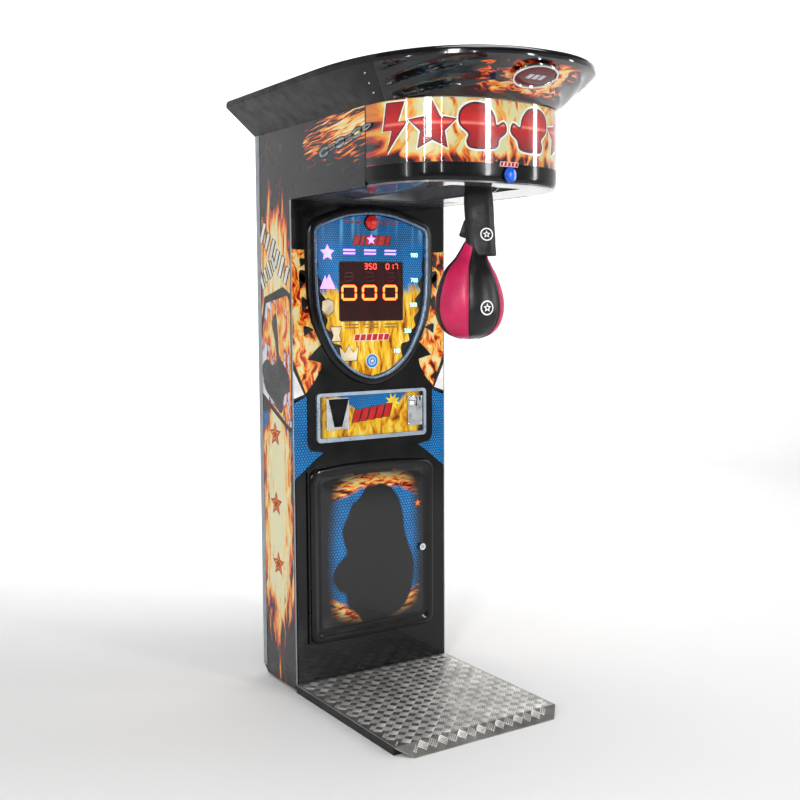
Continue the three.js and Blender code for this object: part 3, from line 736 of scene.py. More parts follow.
def loop_sweep(name, loop, profile, material, **more):
    """a moulding with a closed profile of (offset, y) that runs round a closed loop"""
    vertices = []
    for offset, y in profile:
        vertices += [(x, y, z) for x, z in grown(loop, offset)]
    faces = strip_faces(len(profile), len(loop), close_rows=True, close_columns=True)
    return build(name, vertices, faces, material, **more)


def turned(name, profile, centre, axis, material, segments=48, **more):
    """a profile of (radius, height) turned about an axis through centre: axis is "x", "y" or "z" """
    vertices = []
    for r, h in profile:
        for i in range(segments):
            a = 2 * math.pi * i / segments
            u, v = r * math.cos(a), r * math.sin(a)
            point = {"x": (h, u, v), "y": (u, h, v), "z": (u, v, h)}[axis]
            vertices.append(tuple(c + p for c, p in zip(centre, point)))
    faces = strip_faces(len(profile), segments, close_columns=True)
    last = (len(profile) - 1) * segments
    faces += [tuple(range(segments)), tuple(last + i for i in range(segments))]
    return build(name, vertices, faces, material, **more)


def tube(points, radius, sides=8):
    """vertices and faces of a round tube with closed ends along a list of points"""
    path = [Vector(p) for p in points]
    vertices = []
    side = Vector((0, 0, 1)) if abs((path[1] - path[0]).normalized().z) < 0.9 else Vector((1, 0, 0))
    for i, p in enumerate(path):
        ahead = (path[min(i + 1, len(path) - 1)] - path[max(i - 1, 0)]).normalized()
        side = (side - ahead * side.dot(ahead)).normalized()
        up = ahead.cross(side)
        for k in range(sides):
            a = 2 * math.pi * k / sides
            vertices.append(tuple(p + side * radius * math.cos(a) + up * radius * math.sin(a)))
    faces = strip_faces(len(path), sides, close_columns=True)
    last = (len(path) - 1) * sides
    faces += [tuple(range(sides)), tuple(last + i for i in range(sides))]
    return vertices, faces


def add_tube(vertices, faces, points, radius, sides=8):
    """adds one tube to the lists that a piece is built from"""
    more_vertices, more_faces = tube(points, radius, sides)
    faces += [tuple(len(vertices) + i for i in face) for face in more_faces]
    vertices += more_vertices


def paint_nodes(material, *nodes):
    """gives CAD nodes that keep their shape a better material"""
    for name in nodes:
        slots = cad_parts[name].data.materials
        slots.clear()
        slots.append(material)


# ---------- the shield's outline and the door's outline ----------

SHIELD_RIGHT = [(0, 1723), (45, 1721), (90, 1715), (130, 1705), (170, 1692), (205, 1679), (226, 1669),
                (236, 1656), (239, 1636), (239, 1590), (239, 1540), (238, 1480), (235, 1425), (229, 1375),
                (217, 1330), (202, 1292), (182, 1252), (155, 1210), (120, 1175), (81, 1147), (42, 1130),
                (0, 1122)]
SHIELD = curve_loop(mirrored(SHIELD_RIGHT)[:-1], 4)
WINDOW_LOW, WINDOW_HIGH = extent("led_window")
DOOR_LOW, DOOR_HIGH = extent("service_door")
DOOR_HALF = DOOR_HIGH.x
DOOR_SHOULDER = 802


def door_loop(steps=10, corner=34):
    """the door's outline: rounded corners and a top that arches up a little"""
    base = rounded(-DOOR_HALF, DOOR_HALF, DOOR_LOW.z, DOOR_SHOULDER, corner, steps)
    arch = DOOR_HIGH.z - DOOR_SHOULDER
    dense = []
    for i, (x0, z0) in enumerate(base):
        x1, z1 = base[(i + 1) % len(base)]
        parts = max(1, int(math.hypot(x1 - x0, z1 - z0) / 22))
        dense += [(x0 + (x1 - x0) * k / parts, z0 + (z1 - z0) * k / parts) for k in range(parts)]
    middle = (DOOR_LOW.z + DOOR_SHOULDER) / 2
    lifted = []
    for x, z in dense:
        rise = max(0, z - middle) / (DOOR_SHOULDER - middle)
        lifted.append((x, z + arch * (1 - (x / DOOR_HALF) ** 2) * rise ** 3))
    return lifted


def inset(loop, distance):
    """the loop drawn in towards its middle by about a distance"""
    xs, zs = [p[0] for p in loop], [p[1] for p in loop]
    cx, cz = (max(xs) + min(xs)) / 2, (max(zs) + min(zs)) / 2
    sx = 1 - distance / ((max(xs) - min(xs)) / 2)
    sz = 1 - distance / ((max(zs) - min(zs)) / 2)
    return [(cx + (x - cx) * sx, cz + (z - cz) * sz) for x, z in loop]


# ---------- cabinet ----------


def cabinet():
    paint_nodes(LAMINATE, "side_panel_left", "side_panel_right", "front_board", "top_board", "back_panel")
    paint_nodes(PLY, "bottom_board")
    paint_nodes(EDGE, "rear_edge_profile_left", "rear_edge_profile_right")
    paint_nodes(RUBBER, "levelling_foot_1", "levelling_foot_2", "arm_buffer")
    inner_back = extent("rear_edge_profile_left")[0].y
    top = HEAD_TOP - 0.5
    chamfer = 26
    outline = [(0.6, 30.0), (0.6, HEAD_BOTTOM + 0.5), (HEAD_STRAIGHT + 0.5, HEAD_BOTTOM + 0.5),
               (HEAD_STRAIGHT + 0.5, top), (inner_back, top), (inner_back, 14 + chamfer),
               (inner_back - chamfer, 14.0), (0.6, 14.0)]
    art = side_art()
    for side, word in ((-1, "left"), (1, "right")):
        sheet(f"side_graphic_{word}", [(outline, [])], on_side(side), 0.4, art, slot="side_art")
        side_decals(side, word)
        section = ((-3.0, 0.2), (0.9, 0.2), (0.9, -2.4), (-1, -3.2), (-3.0, -2.4))
        corner = [(side * (BODY_HALF + out), y) for out, y in section]
        rows = [[(x, y, z) for x, y in corner] for z in (PLATE_TOP + 1, HEAD_BOTTOM - 0.5)]
        faces = strip_faces(2, 5, close_columns=True) + [tuple(range(5)), tuple(range(5, 10))]
        build(f"corner_trim_{word}", rows[0] + rows[1], faces, EDGE, slot="edge_metal", smooth=60)


def side_decals(side, word):
    """the torn banner, the white slabs, the stars and the chain stuck on one side"""
    lay = {"slot": "side_art"}
    low, high, highest = (on_side(side, level) for level in (0.4, 0.7, 1.0))
    outer = [(208, 1420), (243, 1300), (243, 1052), (24, 944), (1, 944), (1, 1428), (60, 1456)]
    banner = [(196, 1398), (243, 1240), (243, 1074), (24, 962), (8, 962), (8, 1398), (30, 1425)]
    sheet(f"banner_edge_{word}", [(outer, [])], low, 0.3, BLACK_PRINT, **lay)
    sheet(f"banner_{word}", [(banner, [])], high, 0.3, banner_art(), **lay)
    cloud = curve_loop([(150, 1330), (118, 1360), (104, 1290), (96, 1215), (60, 1180), (30, 1150), (22, 1090),
                        (60, 1070), (80, 1010), (112, 1016), (150, 1046), (205, 1080), (226, 1120),
                        (232, 1170), (190, 1195), (150, 1175), (118, 1200), (128, 1262)], 5)
    sheet(f"banner_shape_{word}", [(cloud, [])], highest, 0.3, DARK_SHAPE_PRINT, **lay)
    slabs = [slab(214 - 36 * i, 1650 - 31 * i, -1.15, 30 if i % 2 else 38, 11) for i in range(6)]
    slabs += [slab(226 - 31 * i, 1478 + 20 * i, 1.0, 24 if i % 2 else 31, 9) for i in range(4)]
    sheet(f"slabs_edge_{word}", [(grown(b, 7), []) for b in slabs], low, 0.3, BLACK_PRINT, **lay)
    sheet(f"slabs_{word}", [(b, []) for b in slabs], high, 0.3, WHITE_PRINT, **lay)
    stars = [(139, 924), (139, 669), (128, 447)]
    for part, radius, inner, mapper, material in (("edge", 47, 0.46, low, STAR_RED),
                                                  ("face", 33, 0.42, high, ORANGE_PRINT),
                                                  ("heart", 22, 0.40, highest, STAR_RED)):
        shapes = [(star(y, z, radius, inner), []) for y, z in stars]
        sheet(f"stars_{part}_{word}", shapes, mapper, 0.3, material, **lay)
    links, rims = [], []
    for i in range(6):
        y, z = -250 - 52 * i, 1888 + 9 * i
        flat = 0.42 if i % 2 else 0.8
        ring = oval(y, z, 33, 19 * flat, -0.17)
        links.append((ring, [oval(y, z, 21, 19 * flat * 0.45, -0.17)]))
        rims.append((oval(y, z, 36, 19 * flat + 3, -0.17), [oval(y, z, 18, 19 * flat * 0.32, -0.17)]))
    sheet(f"chain_edge_{word}", rims, low, 0.3, BLACK_PRINT, **lay)
    sheet(f"chain_{word}", links, high, 0.3, LINK_PRINT, **lay)


def banner_art():
    paint = Paint("banner_artwork", 0.25, coat=0.4)
    y, z = paint.y, paint.z
    lick = tongues(paint, y, z, 22, 90, phase=2.5)
    heat = lick * 1.9 - 0.72 + paint.ease(abs(z - 1290.0), 130, 30) * 0.35 - paint.ease(y, 150, 220) * 0.3
    scratch = paint.noise(1.0, 2, vector=paint.vector(y / 6.0, z / 90.0, 0.0))
    paper = paint.mix(paint.ease(scratch, 0.56, 0.66), (0.72, 0.72, 0.72), (0.35, 0.50, 0.72))
    flame = paint.ramp(heat, FLAME)
    paint.colour(paint.mix(paint.ease(heat, 0.17, 0.2), paper, flame))
    return paint.material


def front():
    """the moulded black surround with the printed strips that show beside it"""
    inner = [(318, 1586), (272, 1583), (270, 1480), (264, 1400), (248, 1329), (214, 1264), (209, 1251),
             (236, 1228), (264, 1200), (240, 1195), (206, 1186), (214, 1160), (234, 1125), (272, 1079),
             (268, 1066), (268, 905), (262, 885), (240, 874), (200, 865), (240, 838), (318, 776)]
    frame_low, frame_high = extent("coin_panel_frame")
    coin_hole = rounded(frame_low.x - 1, frame_high.x + 1, frame_low.z - 1, frame_high.z + 1, 12)
    door_hole = grown(door_loop(), 1.5)
    lower = PLATE_TOP + 2
    outline = mirrored([(318, HEAD_BOTTOM - 2), *inner, (318, lower)])
    sheet("front_surround", [(outline, [coin_hole, door_hole])], on_front(), 3.2, BLACK,
          slot="black_moulding", bevel=1.4, smooth=60)
    strip = [(323, 1590), (262, 1590), (258, 1400), (236, 1329), (200, 1264), (196, 1170), (222, 1125),
             (268, 1070), (323, 1196)]
    black_edge = [(323, 1206), (268, 1070), (323, 1046)]
    white = [(323, 1168), (279, 1077), (323, 1062)]
    blue = [(323, 1054), (262, 1072), (260, 872), (196, 862), (236, 836), (323, 770)]
    for name, points, level, thickness, material in (("flame_strips", strip, 0.0, 0.4, strip_art()),
                                                     ("wedge_edges", black_edge, 0.4, 0.3, BLACK_PRINT),
                                                     ("wedges", white, 0.7, 0.3, WHITE_PRINT),
                                                     ("blue_fields", blue, 0.1, 0.6, blue_art())):
        both = [([(s * x, z) for x, z in points], []) for s in (-1, 1)]
        sheet(name, both, on_front(level), thickness, material, slot="side_art")
    claws = []
    for s in (-1, 1):
        for x, z, w, h in ((262, 1540, 30, 15), (262, 1492, 44, 22), (266, 1470, 20, 34),
                           (257, 1390, 20, 30), (250, 1300, 30, 18)):
            blob = curve_loop([(s * (x + 8), z + h), (s * (x - w), z + h * 0.3),
                               (s * (x - w * 0.5), z - h * 0.2), (s * (x - w * 1.1 + 40), z - h),
                               (s * (x + 8), z - h * 0.6)], 5)
            claws.append(([(px + s * 18, pz) for px, pz in blob], []))
    sheet("strip_licks", claws, on_front(0.4), 0.3, BLACK_PRINT, slot="side_art")


# ---------- score shield ----------

SEGMENTS = {"a": (0, 1, 1), "b": (1, 0.75, 0), "c": (1, 0.25, 0), "d": (0, 0, 1), "e": (-1, 0.25, 0),
            "f": (-1, 0.75, 0), "g": (0, 0.5, 1)}
DIGITS = {"0": "abcdef", "1": "bc", "2": "abged", "3": "abgcd", "5": "afgcd", "7": "abc", "8": "abcdefg"}


def digit_bars(digit, x0, z0, width, height, stroke):
    """the lit bars of one seven-segment digit, as outlines"""
    shapes = []
    for key in DIGITS[digit]:
        side, level, flat = SEGMENTS[key]
        cx = x0 + width / 2 + side * (width - stroke) / 2
        cz = z0 + stroke / 2 + level * (height - stroke)
        half = stroke / 2
        long = ((width - stroke) / 2 if flat else (height - stroke) / 4) - 0.6
        if flat:
            corners = ((-long, 0), (-long + half, -half), (long - half, -half),
                       (long, 0), (long - half, half), (-long + half, half))
        else:
            corners = ((0, -long), (half, -long + half), (half, long - half),
                       (0, long), (-half, long - half), (-half, -long + half))
        shapes.append(([(cx + u, cz + v) for u, v in corners], []))
    return shapes


def lettering(name, words, size, height, material, slot, swell=0.35):
    """raised numbers: each word is (text, centre x, centre z)"""
    vertices, faces = [], []
    for text, cx, cz in words:
        curve = bpy.data.curves.new("word", "FONT")
        curve.body = text
        curve.size = size * MM
        curve.align_x, curve.align_y = "CENTER", "CENTER"
        curve.extrude = 0.15 * MM
        curve.offset = swell * MM
        curve.resolution_u = 3
        temporary = bpy.data.objects.new("word", curve)
        bpy.context.scene.collection.objects.link(temporary)
        bpy.context.view_layer.update()
        graph = bpy.context.evaluated_depsgraph_get()
        mesh = bpy.data.meshes.new_from_object(temporary.evaluated_get(graph))
        base = len(vertices)
        for vertex in mesh.vertices:
            x, z, rise = (value / MM for value in vertex.co)
            vertices.append((x + cx, -height - 0.15 - rise, z * 1.05 + cz))
        faces += [[base + i for i in p.vertices] for p in mesh.polygons]
        bpy.data.objects.remove(temporary)
        bpy.data.curves.remove(curve)
        bpy.data.meshes.remove(mesh)
    return build(name, vertices, faces, material, slot=slot)


PANEL_FACE = -extent("score_panel")[0].y
PRINTED = {"slot": "printed_panel"}


def shield():
    bezel = loop_sweep("moulded_bezel", SHIELD, [(-4, -0.6), (-4, -12), (-1, -15), (4, -16.5), (12, -16.5),
                                                 (19, -14), (23, -9.5), (25, -4), (25, -0.6)],
                       BLACK, slot="black_moulding", smooth=50)
    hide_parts("shield_bezel")
    trim = loop_sweep("shield_rim", SHIELD, [(-9.3, -5.4), (-9.3, -17), (-8, -19.2), (-6, -20), (-2, -20),
                                             (0, -19), (0.6, -16), (0.6, -12), (-2, -5.4)],
                      TRIM_BLUE, slot="shield_trim", smooth=50)
    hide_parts("shield_trim")
    paint_nodes(shield_art(), "score_panel")
    paint_nodes(WINDOW_RED, "led_window")
    paint_nodes(CIRCUIT, "led_board")
    display()
    score_scale()
    panel_print()
    panel_icons()
    beacon_lamp()
    panel_emblem()


def display():
    """the lit digits of the window, and the unlit ones behind its dark red filter"""
    glass = on_front(-extent("led_window")[0].y)
    filtered = {"slot": "red_filter"}
    big = [(-126, 64), (-40, 63), (49, 63)]
    shapes = [bar for x, width in big for bar in digit_bars("0", x, 1406, width, 56, 8.5)]
    sheet("score_digits", shapes, glass, 0.5, DIGIT_RED, **filtered)
    small = [("3", -30), ("5", -11), ("0", 8), ("0", 62), ("1", 81), ("7", 100)]
    shapes = [bar for digit, x in small for bar in digit_bars(digit, x, 1518, 15, 22, 3.2)]
    sheet("counter_digits", shapes, glass, 0.5, DIGIT_SMALL, **filtered)
    shapes = [bar for x, _ in big for bar in digit_bars("8", x + 14, 1474, 36, 34, 4)]
    sheet("dark_digits", shapes, glass, 0.2, DIGIT_DIM, **filtered)


def score_scale():
    scores = [("900", 186, 1571), ("700", 186, 1479), ("500", 182, 1388), ("300", 156, 1292),
              ("100", 107, 1219)]
    lettering("score_mark_edges", scores, 21, PANEL_FACE, BLACK_PRINT, "printed_panel", 1.7)
    lettering("score_marks", scores, 21, PANEL_FACE + 0.4, SCORE_GLOW, "printed_panel")


def panel_print():
    """the bars and dashes that stand for titles and captions"""
    on, above = on_front(PANEL_FACE), on_front(PANEL_FACE + 0.3)
    low, high = WINDOW_LOW, WINDOW_HIGH
    sheet("window_edge", [(rounded(low.x - 3, high.x + 3, low.z - 3, high.z + 3, 9),
                           [rounded(low.x, high.x, low.z, high.z, 8)])], on, 0.6, BLACK_PRINT, **PRINTED)
    marks = [(bar(x - 25, x + 25, z, z + 7, 3), []) for x in (-94, -7, 80) for z in (1571, 1583)]
    sheet("lamp_marks", marks, on, 0.3, PURPLE_GLOW, **PRINTED)
    letters = ((-78, 24), (-48, 14), (-28, 30), (8, 12), (26, 26), (58, 16))
    title = [(bar(x, x + width, 1606, 1640, 10), []) for x, width in letters]
    sheet("title_shadow", [(grown(o, 3), []) for o, _ in title], on, 0.3, BLACK_PRINT, **PRINTED)
    sheet("title_bars", title, above, 0.3, RED_PRINT, **PRINTED)
    sheet("title_star", [(star(0, 1625, 20), [])], on_front(PANEL_FACE + 0.6), 0.3, PURPLE_GLOW, **PRINTED)
    starts = [s * 72 - 38 + i * 13 for s in (-1, 1) for i in range(6)]
    dashes = [(bar(x, x + 8, 1681, 1690, 3), []) for x in starts]
    sheet("beacon_dashes", dashes, on, 0.3, STAR_RED, **PRINTED)
    strip = [(bar(-75 + i * 25, -55 + i * 25, 1262, 1284, 5), []) for i in range(6)]
    sheet("caption_edge", [(grown(o, 2.5), []) for o, _ in strip], on, 0.3, WHITE_PRINT, **PRINTED)
    sheet("caption_bars", strip, above, 0.3, RED_PRINT, **PRINTED)
    lines = [(bar(x - 28, x + 28, z, z + 5, 0), []) for x in (-84, 0, 84) for z in (1306, 1317)]
    sheet("window_captions", lines, on, 0.3, BROWN_PRINT, **PRINTED)


def panel_icons():
    """a star and a mountain that are lit; a crown, a cup and a shield that are not; licks at the edge"""
    on, above = on_front(PANEL_FACE), on_front(PANEL_FACE + 0.3)
    mountain = [(-214, 1448), (-150, 1448), (-176, 1500), (-186, 1480), (-192, 1496)]
    icons = [(star(-182, 1575, 30, 0.5), []), (mountain, [])]
    sheet("lit_icons", icons, on, 0.3, PURPLE_GLOW, **PRINTED)
    sheet("lit_icon_faces", [(star(-182, 1575, 17, 0.5), [])], above, 0.3, WHITE_PRINT, **PRINTED)
    crown = [(-128, 1190), (-66, 1190), (-58, 1240), (-80, 1218), (-97, 1246), (-114, 1218), (-136, 1240)]
    cup = [(-168, 1262), (-130, 1262), (-138, 1282), (-126, 1312), (-172, 1312), (-160, 1282)]
    plate = [(-182, 1352), (-158, 1372), (-160, 1404), (-182, 1412), (-204, 1404), (-206, 1372)]
    unlit = (crown, cup, plate)
    sheet("icon_edges", [(grown(o, 3), []) for o in unlit], on, 0.3, BLACK_PRINT, **PRINTED)
    sheet("icons", [(o, []) for o in unlit], above, 0.3, CREAM_PRINT, **PRINTED)
    lick = [(231, 1570), (218, 1530), (224, 1500), (202, 1466), (214, 1440), (188, 1405), (206, 1372),
            (184, 1340), (190, 1310), (160, 1286), (162, 1256), (128, 1244), (132, 1200), (160, 1222),
            (200, 1298), (223, 1362), (230, 1440), (231, 1500)]
    licks = [(curve_loop([(s * x, z) for x, z in lick], 4), []) for s in (-1, 1)]
    sheet("shield_licks", licks, on_front(PANEL_FACE - 0.2), 0.35, BLACK_PRINT, **PRINTED)


def beacon_lamp():
    """the red lamp at the top of the shield, with its black ring"""
    face, centre = -PANEL_FACE, (0, 0, 1686)
    turned("beacon_ring", [(20, face), (29, face), (30, face - 2), (28, face - 4), (24, face - 4)],
           centre, "y", BLACK, slot="black_moulding")
    profile = [(25, face), (25, face - 6)]
    profile += [(25 * math.cos(a), face - 6 - 15 * math.sin(a)) for a in np.linspace(0.1, 1.5, 10)]
    beacon = turned("beacon_dome", profile, centre, "y", RED_LENS, slot="red_lens")
    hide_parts("beacon_lamp")


def panel_emblem():
    """a star inside rings at the foot of the panel"""
    on = on_front(PANEL_FACE)
    for radius, height, material in ((27, 0.4, WHITE_PRINT), (24, 0.7, BLUE_PRINT), (16, 1.0, ICE_PRINT),
                                     (11, 1.3, BLUE_PRINT)):
        sheet(f"emblem_{radius}", [(circle(0, 1186, radius), [])], on, height, material, **PRINTED)
    sheet("emblem_star", [(star(0, 1186, 9), [])], on_front(PANEL_FACE + 1.3), 0.3, WHITE_PRINT, **PRINTED)


# ---------- coin panel ----------


def coin_panel():
    paint_nodes(COIN_TRIM, "coin_panel_frame")
    paint_nodes(coin_art(), "coin_panel_plate")
    paint_nodes(STEEL, "coin_return_bezel", "coin_mech_plate", "coin_reject_button")
    paint_nodes(BLACK, "coin_return_flap")
    paint_nodes(MATT, "coin_return_cup", "coin_validator", "coin_chute")
    paint_nodes(ZINC, "cash_box")
    panel = -extent("coin_panel_plate")[0].y
    blocks = [bar(-86 + i * 33, -60 + i * 33, 966 + 3 * i, 1010 + 4 * i, 14) for i in range(5)]
    shadows = [(grown(o, 3.5), []) for o in blocks]
    sheet("coin_graphic_shadow", shadows, on_front(panel), 0.3, BLACK_PRINT, **PRINTED)
    sheet("coin_graphic", [(o, []) for o in blocks], on_front(panel + 0.3), 0.3, RED_PRINT, **PRINTED)
    flare = star(88, 1030, 34, 0.5, 9, 0.3)
    sheet("coin_flare", [(flare, [])], on_front(panel), 0.25, YELLOW_PRINT, **PRINTED)
    bezel = -extent("coin_return_bezel")[0].y
    ring = [([(-185, 1054), (-101.5, 1054), (-131, 953), (-162, 953)],
             [[(-178, 1049), (-108, 1049), (-133.5, 960), (-159.5, 960)]])]
    sheet("return_vee", ring, on_front(bezel), 1.2, BLACK, slot="black_moulding", bevel=0.4)
    flap = -extent("coin_return_flap")[0].y
    ribs = [(bar(-166 + i * 3, -120 - i * 3, 1030 - 16 * i, 1033 - 16 * i), []) for i in range(4)]
    sheet("flap_ribs", ribs, on_front(flap), 0.8, BLACK, body="coin_return_flap", slot="black_moulding")
    mech = -extent("coin_mech_plate")[0].y
    turned("coin_entry_ring", [(12, -mech), (19, -mech), (19, -mech - 2), (16.5, -mech - 3), (14, -mech - 1)],
           (172, 0, 1030), "y", CHROME, slot="steel", segments=40)
    sheet("slot_lips", [(rounded(185.5, 196.5, 1008, 1046, 3), [rounded(188.7, 193.3, 1011.4, 1042.6, 1)])],
          on_front(mech), 1.6, CHROME, slot="steel", bevel=0.4)
    arrow = [(204, 1046), (212, 1046), (212, 1034), (208, 1026), (204, 1034)]
    sheet("slot_arrow", [(arrow, [])], on_front(mech), 0.3, BLACK_PRINT, slot="steel")
    screws = ((159, 944), (213, 944), (159, 1043), (213, 1043), (-189, 948), (-106, 948))
    for i, (x, z) in enumerate(screws):
        screw(f"panel_screw_{i}", (x, -mech, z))


def screw(name, centre, axis="y", sign=-1, radius=3.4):
    """a domed screw head with a round recess"""
    profile = [(radius * share, sign * height) for share, height in
               ((1, 0), (1, 0.6), (0.75, 1.3), (0.3, 1.5), (0.28, 0.9))]
    turned(name, profile, centre, axis, CHROME, segments=20, slot="steel")


# ---------- service door ----------


def service_door():
    loop = door_loop()
    profile = [(0, -0.6), (0, -7), (1, -11), (4, -14), (9, -16), (15, -16), (21, -14.5), (26, -11.5),
               (31, -8.6), (37, -7.2), (46, -7.0), (52, -7.4), (60, -8.0), (90, -9.2), (130, -10.2),
               (175, -10.8), (215, -11)]
    vertices = []
    for distance, y in profile:
        vertices += [(x, y, z) for x, z in inset(loop, distance)]
    count = len(loop)
    rings = len(profile)
    faces = strip_faces(rings, count, close_columns=True)
    faces.append(tuple((rings - 1) * count + i for i in range(count)))
    faces.append(tuple(range(count)))
    door = build("moulded_door", vertices, faces, [BLACK, door_art()], body="service_door",
                 slot="black_moulding", smooth=60)
    for polygon in door.data.polygons:
        centre = polygon.center
        x, y = centre.x / MM, (centre.y - FRONT) / MM
        z = centre.z / MM
        if y < -5 and abs(x) < DOOR_HALF - 48 and DOOR_LOW.z + 50 < z < DOOR_HIGH.z - 44:
            polygon.material_index = 1
    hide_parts("service_door")
    on_door = {"body": "service_door", "slot": "black_moulding"}
    sheet("door_star", [(star(196, 640, 20, 0.45), [])], on_front(8.6), 0.5, STAR_RED, **on_door)
    sheet("door_star_face", [(star(196, 640, 12, 0.45), [])], on_front(9.1), 0.3, ORANGE_PRINT, **on_door)
    paint_nodes(CHROME, "door_lock_barrel")
    paint_nodes(ZINC, "door_lock_cam")
    paint_nodes(LAMINATE, "door_hinge")
    low, high = extent("door_lock_barrel")
    x, z = (low.x + high.x) / 2, (low.z + high.z) / 2
    # the keyway is a black sheet laid on the barrel's face: painted shade where an opening would be
    keyway_painted_shade = rounded(x - 1.4, x + 1.4, z - 5, z + 5, 1.3)
    sheet("keyway_painted_shade", [(keyway_painted_shade, [])], on_front(-low.y - 0.1), 0.4, BLACK_PRINT, **on_door)


# ---------- head ----------


def nose_path(distance, count=96):
    """points round the nose from its left corner to its right one, evenly spaced, drawn in by a distance"""
    half, depth = BODY_HALF - distance, HEAD_STRAIGHT - NOSE_FRONT - distance
    raw = []
    for t in np.linspace(0, math.pi, 900):
        c, s = -math.cos(t), math.sin(t)
        x = half * bulged(c, NOSE_POWER)
        y = HEAD_STRAIGHT - depth * bulged(s, NOSE_POWER)
        raw.append((x, y))
    raw = np.array(raw)
    run = np.concatenate([[0], np.cumsum(np.linalg.norm(np.diff(raw, axis=0), axis=1))])
    even = np.linspace(0, run[-1], count)
    xs, ys = np.interp(even, run, raw[:, 0]), np.interp(even, run, raw[:, 1])
    return list(zip(xs, ys)), run[-1]


def nose_sweep(name, profile, material, **more):
    """a closed profile of (distance in, z) carried round the nose"""
    vertices = []
    for distance, z in profile:
        vertices += [(x, y, z) for x, y in nose_path(distance)[0]]
    rows = len(profile)
    count = len(vertices) // rows
    faces = strip_faces(rows, count, close_rows=True)
    faces += [tuple(r * count for r in range(rows)), tuple(r * count + count - 1 for r in range(rows))]
    return build(name, vertices, faces, material, **more)


def on_nose(distance):
    """a mapper that wraps shapes round the nose: a runs along it from the middle"""
    path, length = nose_path(distance, 400)
    points = np.array(path)
    run = np.linspace(-length / 2, length / 2, len(points))
    ahead = np.gradient(points, axis=0)
    outward = np.stack([ahead[:, 1], -ahead[:, 0]], 1)
    outward /= np.linalg.norm(outward, axis=1)[:, None]

    def mapper(a, b, h):
        x, y = np.interp(a, run, points[:, 0]), np.interp(a, run, points[:, 1])
        nx, ny = np.interp(a, run, outward[:, 0]), np.interp(a, run, outward[:, 1])
        return (x + nx * h, y + ny * h, b)
    return mapper


def head():
    paint_nodes(UNDERSIDE, "underside_plate")
    paint_nodes(MATT, "speaker")
    paint_nodes(LAMP_WHITE, "marquee_lamp")
    low, top = HEAD_BOTTOM, BAND_TOP
    profile = [(0, top), (0, low + 30), (1, low + 18), (4, low + 9), (10, low + 3), (18, low), (26, low),
               (26, low + 3), (7, low + 12), (4, low + 30), (4, top)]
    band = nose_sweep("moulded_band", profile, BLACK, slot="black_moulding", smooth=50)
    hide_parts("nose_band")
    head_top = HEAD_TOP - 0.3
    profile = [(0, top + 0.4), (0, head_top), (2.6, head_top), (2.6, top + 0.4)]
    cover = nose_sweep("clear_cover", profile, CLEAR, slot="marquee_clear")
    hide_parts("marquee_cover")
    profile = [(5.0, top + 1), (5.0, head_top - 1), (6.0, head_top - 1), (6.0, top + 1)]
    film = nose_sweep("printed_film", profile, marquee_art(), slot="marquee_print")
    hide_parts("marquee_film")
    marquee_shapes()
    start_button()


def marquee_shapes():
    """two gloves between stars and bolts, each in three layers, and the bars over the button"""
    middle = 1918
    glove = curve_loop([(-40, -48), (22, -50), (34, -36), (30, -18), (52, 4), (50, 34), (24, 52), (-14, 50),
                        (-36, 28), (-44, 4), (-66, 12), (-72, -8), (-52, -26)], 5)
    zigzag = [(-30, 72), (34, 72), (10, 16), (44, 16), (-30, -72), (-8, -8), (-44, -8)]
    spread = [[(x * 1.25 + 100, z * 1.25 + middle) for x, z in glove],
              [(-x * 1.25 - 100, z * 1.25 + middle) for x, z in glove],
              star(246, middle - 4, 74, 0.48), star(-246, middle - 4, 74, 0.48),
              [(x + 366, z + middle) for x, z in zigzag], [(x - 366, z + middle) for x, z in zigzag]]
    for name, growth, distance, material in (("marquee_shapes_edge", 8, 5, WHITE_LIT),
                                             ("marquee_shapes_shadow", 2.5, 4.5, DARK_RED_PRINT),
                                             ("marquee_shapes", -3, 4, red_lit())):
        sheet(name, [(grown(s, growth), []) for s in spread], on_nose(distance), 0.5, material, longest=26,
              slot="marquee_print", smooth=30)
    caption = [(bar(-34 + i * 14, -24 + i * 14, 1806, 1818, 3), []) for i in range(5)]
    sheet("button_caption_edge", [(grown(o, 2), []) for o, _ in caption], on_nose(0), 0.4, WHITE_PRINT,
          slot="marquee_print")
    sheet("button_caption", caption, on_nose(0), 0.7, RED_PRINT, slot="marquee_print")


def start_button():
    button_low = extent("start_button_bezel")[0].y
    low, high = extent("start_button")
    centre = (0, 0, (low.z + high.z) / 2)
    paint_nodes(BLACK, "start_button_bezel")
    dome = [(14.6, button_low + 0.8), (14.6, button_low - 5)]
    dome += [(14.6 * math.cos(a), button_low - 5 - 4 * math.sin(a)) for a in np.linspace(0.15, 1.5, 7)]
    cap = turned("button_cap", dome, centre, "y", BLUE_LENS, body="start_button", slot="blue_lens")
    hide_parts("start_button")
    section = ((15.4, 0), (23, 0), (23, 1.6), (20, 3.4), (16.4, 2.6))
    turned("button_ring", [(radius, button_low - out) for radius, out in section], centre, "y",
           BLUE_PLASTIC, slot="black_moulding")


def red_lit():
    """lit red with a pale band across the middle of the marquee"""
    paint = Paint("marquee_red", 0.25)
    stops = [(0, (0.35, 0.005, 0.005)), (0.5, (0.62, 0.012, 0.012)), (0.56, (0.85, 0.28, 0.20)),
             (0.64, (0.70, 0.02, 0.02)), (1, (0.42, 0.005, 0.005))]
    shade = paint.ramp(paint.ease(paint.z, 1850, 1990), stops)
    paint.colour(shade)
    paint.glow(shade, 0.3)
    return paint.material


# ---------- roof ----------


